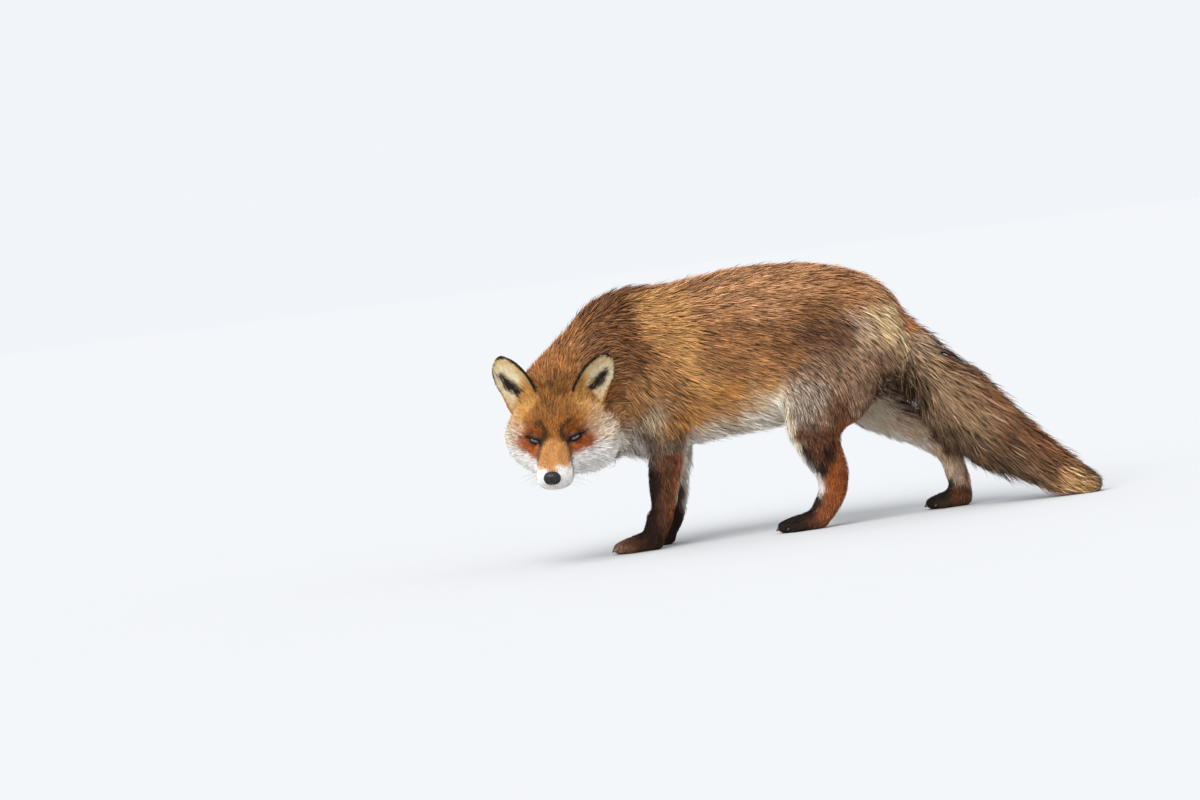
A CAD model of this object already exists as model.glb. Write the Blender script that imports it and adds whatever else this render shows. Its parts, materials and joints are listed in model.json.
"""Looks of the red fox: one skin, the winter coat over it and the fine parts of the head and feet.

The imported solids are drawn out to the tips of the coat. The skin is found inside them, by the
depth that the coat has at each place, and every tuft runs from the skin out to those solids.
"""

from __future__ import annotations

import json
import logging
import math
from collections.abc import Iterator, Sequence
from dataclasses import dataclass, field
from enum import Enum

import bpy
import numpy as np
import openvdb
from mathutils import Matrix, Vector

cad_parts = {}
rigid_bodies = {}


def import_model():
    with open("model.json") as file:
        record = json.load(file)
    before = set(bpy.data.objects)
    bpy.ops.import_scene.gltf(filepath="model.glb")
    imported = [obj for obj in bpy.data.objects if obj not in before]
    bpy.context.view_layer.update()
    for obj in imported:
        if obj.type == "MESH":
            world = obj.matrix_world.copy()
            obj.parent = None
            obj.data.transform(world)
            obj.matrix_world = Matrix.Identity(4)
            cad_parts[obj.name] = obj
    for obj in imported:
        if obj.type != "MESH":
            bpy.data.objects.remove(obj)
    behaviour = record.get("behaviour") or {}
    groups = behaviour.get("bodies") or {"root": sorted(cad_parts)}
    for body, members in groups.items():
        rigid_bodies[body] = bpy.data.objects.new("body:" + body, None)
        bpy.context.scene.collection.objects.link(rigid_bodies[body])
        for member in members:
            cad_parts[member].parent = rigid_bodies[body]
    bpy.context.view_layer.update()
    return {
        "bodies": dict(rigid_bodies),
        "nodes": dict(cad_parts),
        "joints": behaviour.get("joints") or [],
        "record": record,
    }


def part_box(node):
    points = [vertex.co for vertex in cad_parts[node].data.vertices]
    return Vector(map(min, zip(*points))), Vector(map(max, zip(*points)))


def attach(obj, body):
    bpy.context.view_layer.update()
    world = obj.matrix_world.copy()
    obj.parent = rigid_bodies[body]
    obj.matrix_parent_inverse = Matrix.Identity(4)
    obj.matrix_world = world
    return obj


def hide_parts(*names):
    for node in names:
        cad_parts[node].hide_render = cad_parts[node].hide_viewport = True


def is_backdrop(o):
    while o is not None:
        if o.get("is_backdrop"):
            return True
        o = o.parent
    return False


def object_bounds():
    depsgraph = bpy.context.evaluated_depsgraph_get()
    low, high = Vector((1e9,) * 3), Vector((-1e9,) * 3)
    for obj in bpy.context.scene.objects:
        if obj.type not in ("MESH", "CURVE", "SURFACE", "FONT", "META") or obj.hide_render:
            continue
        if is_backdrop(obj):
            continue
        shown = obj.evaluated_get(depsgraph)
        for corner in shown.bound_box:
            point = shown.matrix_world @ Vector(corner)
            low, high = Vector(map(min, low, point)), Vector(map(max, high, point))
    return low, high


LOG = logging.getLogger("red_fox")
Array = np.ndarray
Colour = tuple[float, float, float]
Place = tuple[float, float, float]
Line = tuple[Place, ...]
Span = tuple[float, float]
LIE, DEPTH, LENGTH, LOOSE = slice(0, 3), 3, 4, 5  # columns of a row of the coat's traits
ROOT, TIP, FROST, SOOT = slice(6, 9), slice(9, 12), 12, 13
TUFT_STEPS = (0.0, 0.34, 0.70, 1.0)  # shares of a tuft's length at its four levels
TUFT_WIDTHS = (0.75, 1.0, 0.72)  # shares of its width at the first three
TUFT_TINTS = (0.0, 0.0, 0.42, 0.42, 0.86, 0.86, 1.0)  # from root to tip colour, by vertex
FROST_TINT = (0.80, 0.70, 0.58)  # what frosted tips are lightened by
SOOTY_SHARE = 0.25  # how much of its colour a sooty tip keeps
LIGHTNESS = (0.27, 0.32)  # how far a tuft's lightness varies by chance, and by its streak
BRIGHTEST = 0.95
PATCH = 0.003  # the size of a tuft on the unwrap
SIDES = {"left": 1, "right": -1}  # the sign of Y on each side
FAR = 9.0  # a bound further off than any part of the fox


# --- Small tools ----------------------------------------------------------------------------
def unit(vectors: Array) -> Array:
    """Returns rows scaled to length 1."""
    return vectors / np.maximum(np.linalg.norm(vectors, axis=-1, keepdims=True), 1e-12)


def square_to(normals: Array, vectors: Array) -> Array:
    """Returns vectors less their part along unit normals."""
    return vectors - (vectors * normals).sum(axis=-1)[..., None] * normals


def ease(low: float, high: float, value: Array) -> Array:
    """Returns 0 below low and 1 above high, with a smooth turn between them."""
    t = np.clip((value - low) / (high - low), 0.0, 1.0)
    return t * t * (3 - 2 * t)


def fall(low: float, high: float, value: Array) -> Array:
    """Returns 1 below low and 0 above high, with a smooth turn between them."""
    return 1 - ease(low, high, value)


def bell(value: Array, middle: float, reach: float) -> Array:
    """Returns 1 at the middle, and less to either side: e to minus the square of its reaches."""
    return np.exp(-(((value - middle) / reach) ** 2))


def blend(a: Array, b: Array, share: Array) -> Array:
    """Returns rows of a turned into rows of b by a share from 0 to 1."""
    return a + (b - a) * np.asarray(share)[..., None]


def merged(a: Array, b: Array, reach: float) -> Array:
    """Returns the smaller of two distances, eased where they are nearer than reach."""
    share = np.clip(0.5 + 0.5 * (b - a) / reach, 0, 1)
    return b + (a - b) * share - reach * share * (1 - share)


def corners(t: Array) -> Iterator[tuple[Array, Array]]:
    """Gives the eight corners of a cube in turn, each with its weight at places in the cube.

    Args:
        t: places in the cube, from 0 to 1 along each axis.
    """
    for corner in np.ndindex(2, 2, 2):
        yield np.array(corner), np.prod(np.abs(1 - np.array(corner) - t), axis=-1)


class Noise:
    """A smooth random field: values on a repeating lattice, eased between its corners."""

    SIZE = 32

    def __init__(self, seed: int) -> None:
        """Fills the lattice from a seed."""
        self.table = np.random.default_rng(seed).random((self.SIZE,) * 3)

    def at(self, points: Array, scale: float) -> Array:
        """Returns a value from -1 to 1 at each point.

        Args:
            points: places, one to a row.
            scale: the lattice's spacing in metres.

        Returns:
            One value for each place.
        """
        where = points / scale
        cell = np.floor(where).astype(int)
        total = np.zeros(len(points))
        for corner, weight in corners(ease(0, 1, where - cell)):
            total += weight * self.table[tuple(((cell + corner) % self.SIZE).T)]
        return 2 * total - 1

    def slope(self, points: Array, scale: float) -> Array:
        """Returns the field's slope, by the difference over a quarter step along each axis.

        Args:
            points: places, one to a row.
            scale: the lattice's spacing in metres.

        Returns:
            One row for each place.
        """
        steps = 0.25 * scale * np.eye(3)
        rows = [self.at(points + step, scale) - self.at(points - step, scale) for step in steps]
        return np.stack(rows, axis=-1) * 2


def new_object(
    name: str, points: Array, loops: Array, sizes: Array, finish: bpy.types.Material
) -> bpy.types.Object:
    """Makes a smooth-shaded mesh object.

    Args:
        name: the object's name.
        points: vertices, one to a row.
        loops: the corners of all faces, one after the other.
        sizes: how many corners each face has.
        finish: its material.

    Returns:
        The object, linked to the scene.
    """
    mesh = bpy.data.meshes.new(name)
    mesh.vertices.add(len(points))
    mesh.vertices.foreach_set("co", np.ascontiguousarray(points, np.float32).ravel())
    mesh.loops.add(len(loops))
    mesh.loops.foreach_set("vertex_index", np.ascontiguousarray(loops, np.int32))
    mesh.polygons.add(len(sizes))
    starts = np.concatenate([[0], np.cumsum(sizes)[:-1]]).astype(np.int32)
    mesh.polygons.foreach_set("loop_start", starts)
    mesh.update(calc_edges=True)
    mesh.polygons.foreach_set("use_smooth", np.ones(len(sizes), bool))
    mesh.materials.append(finish)
    obj = bpy.data.objects.new(name, mesh)
    bpy.context.scene.collection.objects.link(obj)
    return obj


def grid_quads(rows: int, columns: int) -> Array:
    """Returns the quads of a grid of points whose last column joins its first.

    Args:
        rows: its rows.
        columns: its columns.

    Returns:
        The numbers of each quad's four points.
    """
    a = np.arange(rows - 1)[:, None] * columns
    b = np.arange(columns)[None, :]
    c = (b + 1) % columns
    return np.stack([a + b, a + c, a + columns + c, a + columns + b], axis=-1).reshape(-1, 4)


def grid_object(name: str, grid: Array, finish: bpy.types.Material) -> bpy.types.Object:
    """Makes an object of quads from a grid of points whose last column joins its first.

    Args:
        name: the object's name.
        grid: points by row and column.
        finish: its material.

    Returns:
        The object.
    """
    quads = grid_quads(*grid.shape[:2])
    return new_object(name, grid.reshape(-1, 3), quads.ravel(), np.full(len(quads), 4), finish)


def turns(count: int) -> Array:
    """Returns evenly spaced angles of a full turn."""
    return np.linspace(0, 2 * math.pi, count, endpoint=False)


def sphere(rows: int, columns: int) -> Array:
    """Returns a sphere of radius 1 round the origin as a grid, from its pole on X to the other.

    A row lies at one angle from the pole: X is that angle's cosine, and Y and Z are its sine
    times the cosine and the sine of the turn round X.

    Args:
        rows: the grid's rows.
        columns: its columns.

    Returns:
        Points by row and column.
    """
    away = np.linspace(0, math.pi, rows)[:, None]
    turn = turns(columns)[None, :]
    parts = [np.cos(away) + 0 * turn, np.sin(away) * np.cos(turn), np.sin(away) * np.sin(turn)]
    return np.stack(parts, axis=-1)


def paint(obj: bpy.types.Object, name: str, colours: Array) -> None:
    """Writes a colour to each vertex.

    Args:
        obj: the object.
        name: the colour attribute's name.
        colours: red, green and blue, one row for each vertex.
    """
    layer = obj.data.attributes.new(name, "FLOAT_COLOR", "POINT")
    rgba = np.ones((len(colours), 4), np.float32)
    rgba[:, :3] = colours
    layer.data.foreach_set("color", rgba.ravel())


# --- Shader maths ---------------------------------------------------------------------------
class Wire:
    """A shader socket that can be reckoned with; each operation adds its Math node."""

    def __init__(self, shader: "Shader", socket: bpy.types.NodeSocket) -> None:
        """Keeps the socket and the shader it belongs to."""
        self.shader = shader
        self.socket = socket

    def _math(self, operation: str, *values: "Wire | float") -> "Wire":
        """Adds one Math node."""
        return self.shader.node("ShaderNodeMath", {"operation": operation}, dict(enumerate(values)))

    def __add__(self, other: "Wire | float") -> "Wire":
        """Returns the sum."""
        return self._math("ADD", self, other)

    def __rsub__(self, other: "Wire | float") -> "Wire":
        """Returns the difference from a number."""
        return self._math("SUBTRACT", other, self)

    def __mul__(self, other: "Wire | float") -> "Wire":
        """Returns the product."""
        return self._math("MULTIPLY", self, other)

    __rmul__ = __mul__


class Shader:
    """A material with one Principled shader and the nodes that feed it."""

    def __init__(self, name: str, **settings: float | tuple) -> None:
        """Makes the material.

        Args:
            name: its name.
            settings: the Principled shader's plain sockets, with _ for a space in their names.
        """
        self.material = bpy.data.materials.new(name)
        self.material.use_nodes = True
        self.tree = self.material.node_tree
        self.principled = self.tree.nodes["Principled BSDF"]
        for socket, value in settings.items():
            self.principled.inputs[socket.replace("_", " ")].default_value = value

    def node(
        self, kind: str, settings: dict | None = None, inputs: dict | None = None, output: int | str = 0
    ) -> Wire:
        """Adds a node, with its settings first and then its sockets' values or links.

        Args:
            kind: the node's type.
            settings: its own settings by name.
            inputs: values or wires by socket name or number.
            output: which of its outputs to hand back.

        Returns:
            That output.
        """
        made = self.tree.nodes.new(kind)
        for key, value in (settings or {}).items():
            setattr(made, key, value)
        for key, value in (inputs or {}).items():
            if isinstance(value, Wire):
                self.tree.links.new(value.socket, made.inputs[key])
            else:
                made.inputs[key].default_value = value
        return Wire(self, made.outputs[output])

    def place(self) -> Wire:
        """Returns the point on the surface, in the object's own coordinates."""
        return self.node("ShaderNodeTexCoord", output="Object")

    def noise(self, scale: float, detail: float = 3.0, rough: float = 0.5) -> Wire:
        """Returns a noise value from 0 to 1 over the object's coordinates."""
        sockets = {"Vector": self.place(), "Scale": scale, "Detail": detail, "Roughness": rough}
        return self.node("ShaderNodeTexNoise", None, sockets)

    def mix(self, share: Wire | float, a: Wire | tuple, b: Wire | tuple, way: str = "MIX") -> Wire:
        """Returns a mixed with b by a share."""
        settings = {"data_type": "RGBA", "blend_type": way}
        return self.node("ShaderNodeMix", settings, {0: share, 6: a, 7: b}, 2)

    def ramp(self, value: Wire, low: float, high: float, start: float = 0, end: float = 1) -> Wire:
        """Returns value carried from low..high to start..end, and held at the ends."""
        inputs = {0: value, 1: low, 2: high, 3: start, 4: end}
        return self.node("ShaderNodeMapRange", None, inputs)

    def link(self, **wires: Wire) -> None:
        """Feeds the Principled shader's sockets."""
        for socket, wire in wires.items():
            self.tree.links.new(wire.socket, self.principled.inputs[socket.replace("_", " ")])

    def painted(self, name: str, share: Wire, dark: Colour) -> None:
        """Gives the surface the colour painted on its mesh.

        Args:
            name: the colour attribute.
            share: where the colour is whole (1) and where it is darkened (0).
            dark: what the colour is multiplied by where it is darkened.
        """
        colour = self.node("ShaderNodeAttribute", {"attribute_name": name}, output="Color")
        darkened = self.mix(1.0, colour, (*dark, 1), "MULTIPLY")
        self.link(Base_Color=self.mix(share, darkened, colour))

    def mottled(self, share: Wire, near: Colour, far: Colour) -> None:
        """Gives the surface a colour between two by a share."""
        self.link(Base_Color=self.mix(share, (*near, 1), (*far, 1)))

    def bump(self, height: Wire, depth: float, strength: float) -> None:
        """Feeds the Principled shader's normal from a height."""
        inputs = {"Height": height, "Distance": depth, "Strength": strength}
        self.link(Normal=self.node("ShaderNodeBump", None, inputs))


@dataclass(frozen=True)
class CoatFinish:
    """Hair: painted colours, each tuft streaked a little, and nearly matt."""

    name: str
    dark: Colour = (0.82, 0.78, 0.74)

    def material(self) -> bpy.types.Material:
        """Returns the material."""
        shader = Shader(self.name, Specular_IOR_Level=0.16)
        streak, patch = shader.noise(900.0, 2.0), shader.noise(28.0, 4.0)
        shader.painted("fur", shader.ramp(0.6 * streak + 0.4 * patch, 0.34, 0.66), self.dark)
        shader.link(Roughness=shader.ramp(streak, 0.3, 0.7, 0.52, 0.72))
        shader.bump(streak, 0.0002, 0.35)
        return shader.material


@dataclass(frozen=True)
class SkinFinish:
    """Skin under the coat: its markings, in the short under-fur's fine streaks."""

    name: str = "skin"
    dark: Colour = (0.66, 0.60, 0.56)

    def material(self) -> bpy.types.Material:
        """Returns the material."""
        shader = Shader(self.name, Roughness=0.85, Specular_IOR_Level=0.12)
        fine, tuft = shader.noise(1400.0), shader.noise(260.0)
        shader.painted("markings", shader.ramp(0.5 * fine + 0.5 * tuft, 0.36, 0.64), self.dark)
        shader.bump(fine * 0.5 + tuft, 0.0012, 0.7)
        return shader.material


@dataclass(frozen=True)
class LidFinish:
    """Eyelids: painted colours, in fine short hair."""

    name: str = "eyelid"
    dark: Colour = (0.6, 0.55, 0.5)

    def material(self) -> bpy.types.Material:
        """Returns the material."""
        shader = Shader(self.name, Specular_IOR_Level=0.15)
        fine = shader.noise(2200.0)
        shader.painted("markings", shader.ramp(fine, 0.35, 0.65), self.dark)
        shader.link(Roughness=shader.ramp(fine, 0.3, 0.7, 0.45, 0.75))
        shader.bump(fine, 0.0004, 0.6)
        return shader.material


@dataclass(frozen=True)
class EyeFinish:
    """A wet eye: the iris, its dark rim and its upright slit are painted on the ball."""

    name: str = "wet_eye"
    dark: Colour = (0.6, 0.55, 0.5)

    def material(self) -> bpy.types.Material:
        """Returns the material."""
        wet = {"Specular_IOR_Level": 0.6, "Coat_Weight": 1.0, "Coat_Roughness": 0.02}
        shader = Shader(self.name, **wet)
        fleck = shader.noise(1500.0, 4.0)
        shader.painted("iris", shader.ramp(fleck, 0.35, 0.65), self.dark)
        shader.link(Roughness=shader.ramp(fleck, 0.3, 0.7, 0.08, 0.16))
        return shader.material


@dataclass(frozen=True)
class NoseFinish:
    """Nose leather: near-black, finely pebbled and moist."""

    name: str = "nose_leather"
    near: Colour = (0.004, 0.004, 0.006)
    far: Colour = (0.011, 0.012, 0.017)

    def material(self) -> bpy.types.Material:
        """Returns the material."""
        moist = {"Specular_IOR_Level": 0.30, "Coat_Weight": 0.20, "Coat_Roughness": 0.22}
        shader = Shader(self.name, **moist)
        sockets = {"Vector": shader.place(), "Scale": 900.0}
        pebble = shader.node("ShaderNodeTexVoronoi", {"feature": "F1"}, sockets, "Distance")
        shader.mottled(shader.ramp(shader.noise(160.0), 0.35, 0.7), self.near, self.far)
        shader.link(Roughness=shader.ramp(pebble, 0.0, 0.8, 0.36, 0.55))
        shader.bump(1 - pebble, 0.00035, 0.6)
        return shader.material


@dataclass(frozen=True)
class HornFinish:
    """Claws and whiskers: smooth dark horn, a little worn and streaked along its length."""

    name: str
    near: Colour
    far: Colour
    roughness: float = 0.4

    def material(self) -> bpy.types.Material:
        """Returns the material."""
        shader = Shader(self.name, Specular_IOR_Level=0.45)
        worn = shader.noise(700.0, 4.0, 0.6)
        shader.mottled(shader.ramp(worn, 0.35, 0.65), self.near, self.far)
        shader.link(Roughness=shader.ramp(worn, 0.3, 0.7, self.roughness, self.roughness + 0.15))
        shader.bump(worn, 0.0002, 0.5)
        return shader.material


@dataclass(frozen=True)
class FloorFinish:
    """A plain pale floor."""

    name: str = "pale_floor"
    near: Colour = (0.565, 0.572, 0.585)
    far: Colour = (0.575, 0.582, 0.595)

    def material(self) -> bpy.types.Material:
        """Returns the material."""
        shader = Shader(self.name, Roughness=0.9, Specular_IOR_Level=0.0)
        shader.mottled(shader.noise(6.0), self.near, self.far)
        return shader.material


# --- Where things are -----------------------------------------------------------------------
@dataclass
class Anatomy:
    """The head's own frame and the floor point that the body's sizes are measured from.

    The head's frame has its origin midway between the eyes, X forward, Y to the fox's left and
    Z up. The body's has its origin on the floor between the fore paws, and the room's axes.
    """

    nose_ahead: float = 0.0745
    nose_below: float = 0.0182
    nose: Place = (0.0735, 0.0, -0.0185)
    eyes_from_balls: Place = (0.0010, 0.0, 0.0005)
    eyes_from_floor_point: Place = (-0.0955, -0.150, 0.1775)
    ball_radius: float = 0.0092
    gaze_aside: float = 0.42
    gaze_up: float = 0.42
    corner_back: float = 0.35
    slit_tilt: float = 11.0
    flank: Place = (0.964, -0.264, 0.0865)
    under: Place = (0.37, -0.93, 0.0835)
    jaw_round: float = 0.010
    jaw_back: float = -0.050
    swing: float = 1.5
    turn: Array = field(init=False)
    eyes: Array = field(init=False)
    home: Array = field(init=False)
    balls: dict[int, Array] = field(init=False)

    def __post_init__(self) -> None:
        """Finds both frames from the eyes and the nose."""
        self.balls = {sign: self._middle(f"eye_{side}") for side, sign in SIDES.items()}
        middle = (self.balls[1] + self.balls[-1]) / 2
        across = unit(self.balls[1] - self.balls[-1])
        ahead = unit(square_to(across, self._middle("nose") - middle))
        up = np.cross(ahead, across)
        tilt = math.atan2(self.nose_below, self.nose_ahead)
        forward = math.cos(tilt) * ahead + math.sin(tilt) * up
        up = math.cos(tilt) * up - math.sin(tilt) * ahead
        self.turn = np.stack([forward, across, up], axis=1)
        self.eyes = middle + self.turn @ np.array(self.eyes_from_balls)
        self.home = self.eyes - np.array(self.eyes_from_floor_point)

    @staticmethod
    def _middle(node: str) -> Array:
        """Returns the middle of a node's box."""
        low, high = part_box(node)
        return (np.array(low) + np.array(high)) / 2

    def slit_axes(self, sign: int) -> Array:
        """Returns an eye's axes in the room's frame, as rows.

        Args:
            sign: 1 for the left eye and -1 for the right one.

        Returns:
            The way it looks, the way to its outer corner, and the way up across its slit.
        """
        gaze = unit(np.array((1.0, self.gaze_aside * sign, self.gaze_up)))
        outer = unit(square_to(gaze, np.array((-self.corner_back, sign, 0.0))))
        up = np.cross(gaze, outer) * sign
        tilt = math.radians(self.slit_tilt)
        tilted = math.cos(tilt) * outer + math.sin(tilt) * up
        return np.stack([gaze, tilted, math.cos(tilt) * up - math.sin(tilt) * outer]) @ self.turn.T

    def from_head(self, points: Array) -> Array:
        """Returns places given in the head's frame, in the room's."""
        return np.asarray(points, float) @ self.turn.T + self.eyes

    def to_head(self, points: Array) -> Array:
        """Returns the room's places in the head's frame."""
        return (points - self.eyes) @ self.turn

    def beyond_jowls(self, points: Array) -> Array:
        """Returns about how far outside the trimmed jowls each of the room's places lies.

        Two flat cuts to a side meet at the corner of the jaw, and swing clear of the neck behind.
        Each is given by what it takes of the way aside and of the height, and by its distance.

        Args:
            points: the places.

        Returns:
            One distance for each, negative inside.
        """
        head = self.to_head(points)
        aside, height = np.abs(head[..., 1]), head[..., 2]
        behind = np.maximum(0, self.jaw_back - head[..., 0])
        cuts = [a * aside + b * height - far for a, b, far in (self.flank, self.under)]
        return -merged(-cuts[0], -cuts[1], self.jaw_round) - self.swing * behind

    def from_body(self, points: Array) -> Array:
        """Returns places given from the floor point, in the room's frame."""
        return np.asarray(points, float) + self.home

    def to_body(self, points: Array) -> Array:
        """Returns the room's places as seen from the floor point."""
        return points - self.home


@dataclass
class EarFrame:
    """One ear's own frame: X out of its cup, Y across it and Z up to its tip."""

    side: int
    lean: float
    splay: float
    open_out: float
    length: float = 0.073
    below: float = 0.022
    sunk: float = 0.030
    towards: float = 0.0275
    away: float = 0.025
    wall: float = 0.0056
    curl: float = 0.66
    wrap: Span = (88.0, 48.0)
    forward: float = 0.004
    root: Place = (-0.052, 0.047, 0.030)
    bowl_middle: Place = (0.016, -0.006, 0.017)
    bowl: Place = (0.0200, 0.033, 0.025)
    steps: int = 48

    def axes(self, anatomy: Anatomy) -> tuple[Array, Array]:
        """Returns the frame's axes and origin in the room's frame.

        Args:
            anatomy: where the head is.

        Returns:
            The axes as columns, and the origin.
        """
        turn = (
            Matrix.Rotation(math.radians(-self.side * self.splay), 3, "X")
            @ Matrix.Rotation(math.radians(-self.lean), 3, "Y")
            @ Matrix.Rotation(math.radians(self.side * self.open_out), 3, "Z")
        )
        origin = anatomy.from_head(np.array(self.root) * (1, self.side, 1))
        return anatomy.turn @ np.array(turn), origin

    def to_ear(self, anatomy: Anatomy, points: Array) -> Array:
        """Returns the room's places in this ear's frame."""
        axes, origin = self.axes(anatomy)
        return (points - origin) @ axes

    def rising(self, up: Array) -> Array:
        """Returns heights as shares from the leaf's foot, below the root, to its tip."""
        return np.clip((up + self.below) / (self.length + self.below), 0, 1)

    def half(self, up: Array, away: Array) -> Array:
        """Returns the ear's width to one side of its axis.

        The side towards the crown narrows steadily to the tip, by a high power of the height's
        share. The side away from it bulges high up, and draws in below.

        Args:
            up: heights above the root.
            away: true on the side away from the crown.

        Returns:
            One width for each height.
        """
        crown = self.towards * (1 - 0.985 * self.rising(up) ** 4) ** 0.8
        bulge = self.away * (1 - 0.985 * self.rising(up) ** 6) ** 0.6
        drawn = 0.13 * fall(0.015, 0.045, up) + 0.14 * fall(-self.below, 0.0, up)
        return np.where(away, bulge * (1 - drawn), crown)

    def shell(self, anatomy: Anatomy) -> tuple[Array, Array]:
        """Returns the ear as a closed leaf, whose root runs on down inside the head.

        Each level is a flat ring round an arc. The arc curls to either side by the wrap, which
        goes from its first angle at the foot to its second at the tip. The ring runs along it by
        the root of its turn's cosine, and across the wall by the sine.

        Args:
            anatomy: where the head is.

        Returns:
            Points in the room's frame, and quads.
        """
        up = np.linspace(-self.sunk, self.length, self.steps)[:, None]
        turn = turns(self.steps)[None, :]
        wave, rise = np.cos(turn), np.sin(turn)
        wrap = np.radians(self.wrap[0] + (self.wrap[1] - self.wrap[0]) * self.rising(up))
        bend = np.sign(wave) * np.abs(wave) ** 0.5 * wrap
        halves = [self.half(up, np.array(side)) for side in (True, False)]
        wide = 0.5 * (halves[0] + halves[1]) / np.sin(wrap)
        across = self.half(up, wave * self.side > 0) / np.sin(wrap) * np.sin(bend)
        deep = self.curl * wide * (np.cos(bend) - np.cos(wrap))
        out = unit(np.stack([np.cos(bend), -self.curl * np.sin(bend)], axis=-1))
        out = out * (0.5 * self.wall * np.sign(rise) * np.abs(rise) ** 0.6)[..., None]
        rows = [self.forward - deep + out[..., 0], across + out[..., 1], up + 0 * wave]
        grid = np.stack(rows, axis=-1)
        ends = [grid[k].mean(axis=0)[None, None].repeat(self.steps, axis=1) for k in (0, -1)]
        grid = np.concatenate([ends[0], grid, ends[1]])
        axes, origin = self.axes(anatomy)
        return grid.reshape(-1, 3) @ axes.T + origin, grid_quads(len(grid), self.steps)

    def to_bowl(self, anatomy: Anatomy, points: Array) -> Array:
        """Returns about how far outside the bowl in front of the ear each point lies."""
        place = (self.to_ear(anatomy, points) * (1, self.side, 1) - self.bowl_middle) / self.bowl
        return (np.linalg.norm(place, axis=-1) - 1) * min(self.bowl)


# --- Tones and guides -----------------------------------------------------------------------
class Tone(Enum):
    """Hair colours at the root and the tip, in thousandths, and percents of frosted and sooty hairs."""

    CROWN = (100, 36, 8), (340, 138, 32), 8, 22
    FOREHEAD = (130, 40, 7), (370, 134, 24), 7, 18
    BUFF = (260, 130, 60), (660, 410, 230), 8, 12
    SAND = (300, 125, 28), (640, 330, 95), 2, 6
    BRIDGE = (380, 150, 40), (560, 265, 86), 0, 2
    RUST = (190, 36, 4), (380, 86, 10), 0, 4
    BROW = (16, 7, 4), (55, 22, 9), 2, 25
    TEAR = (40, 18, 9), (130, 60, 30), 2, 25
    CHEEK = (360, 250, 175), (760, 590, 450), 18, 14
    WHITE = (930, 900, 860), (970, 950, 920), 5, 0
    RUFF = (620, 500, 400), (950, 870, 770), 15, 4
    THROAT = (340, 270, 225), (820, 710, 630), 20, 14
    NAPE = (70, 24, 7), (400, 160, 46), 12, 28
    NECK = (40, 14, 5), (235, 98, 35), 13, 28
    NECK_SIDE = (70, 27, 9), (370, 170, 56), 10, 24
    NECK_LOW = (100, 68, 42), (400, 290, 185), 16, 22
    SLEEVE = (36, 22, 15), (165, 108, 70), 20, 24
    SHOULDER = (85, 35, 12), (430, 210, 78), 9, 24
    GOLD = (190, 80, 24), (590, 310, 112), 3, 6
    GOLD_LOW = (210, 80, 19), (620, 280, 70), 3, 6
    BACK = (110, 42, 16), (540, 275, 130), 6, 14
    FLANK = (80, 30, 11), (410, 190, 75), 4, 14
    FLANK_DARK = (60, 22, 8), (320, 145, 53), 5, 16
    REAR = (30, 12, 6), (170, 75, 36), 7, 20
    HIP = (115, 66, 36), (460, 310, 200), 20, 18
    THIGH = (60, 30, 16), (320, 190, 115), 22, 24
    FROST = (50, 34, 24), (320, 245, 190), 45, 28
    CREAM = (880, 670, 460), (980, 860, 680), 10, 0
    BELLY = (880, 700, 540), (980, 870, 740), 10, 0
    RUMP = (210, 115, 50), (740, 500, 265), 28, 14
    RUMP_TOP = (120, 42, 14), (450, 185, 75), 6, 14
    BLACK = (8, 5, 4), (20, 12, 9), 0, 0
    LIVER = (9, 4, 3), (34, 13, 7), 3, 10
    UMBER = (45, 16, 7), (170, 66, 29), 4, 18
    RUFOUS = (140, 38, 13), (400, 125, 42), 2, 8
    HOCK = (160, 40, 8), (350, 98, 20), 1, 6
    FRINGE = (700, 620, 560), (950, 890, 830), 20, 0
    PINK = (400, 270, 190), (780, 560, 400), 15, 4
    INNER = (620, 400, 270), (960, 770, 580), 12, 4
    TAIL_TOP = (45, 15, 6), (300, 115, 46), 3, 20
    TAIL_SIDE = (85, 48, 25), (440, 280, 155), 20, 22
    TAIL_RED = (18, 6, 3), (115, 40, 17), 3, 18
    TAIL_LOW = (24, 10, 6), (140, 62, 31), 4, 20
    TAIL_DARK = (10, 6, 5), (42, 22, 15), 4, 20
    TAIL_GOLD = (260, 125, 48), (800, 460, 205), 10, 14
    TAIL_TIP = (45, 30, 23), (150, 105, 80), 12, 20
    TAIL_END = (250, 250, 260), (620, 630, 640), 20, 25
    EAR_CREAM = (800, 620, 380), (970, 830, 570), 10, 0
    EAR_GOLD = (600, 350, 120), (900, 600, 240), 4, 0
    EAR_BACK = (10, 8, 7), (26, 18, 14), 0, 0

    @property
    def root(self) -> Colour:
        """The colour at the skin."""
        return tuple(part / 1000 for part in self.value[0])

    @property
    def tip(self) -> Colour:
        """The colour at the tip."""
        return tuple(part / 1000 for part in self.value[1])

    @property
    def shares(self) -> Span:
        """The shares of frosted and of sooty hairs."""
        return self.value[2] / 100, self.value[3] / 100


Row = tuple[float, ...]
Table = dict[Tone, Sequence[Row]]

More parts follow.
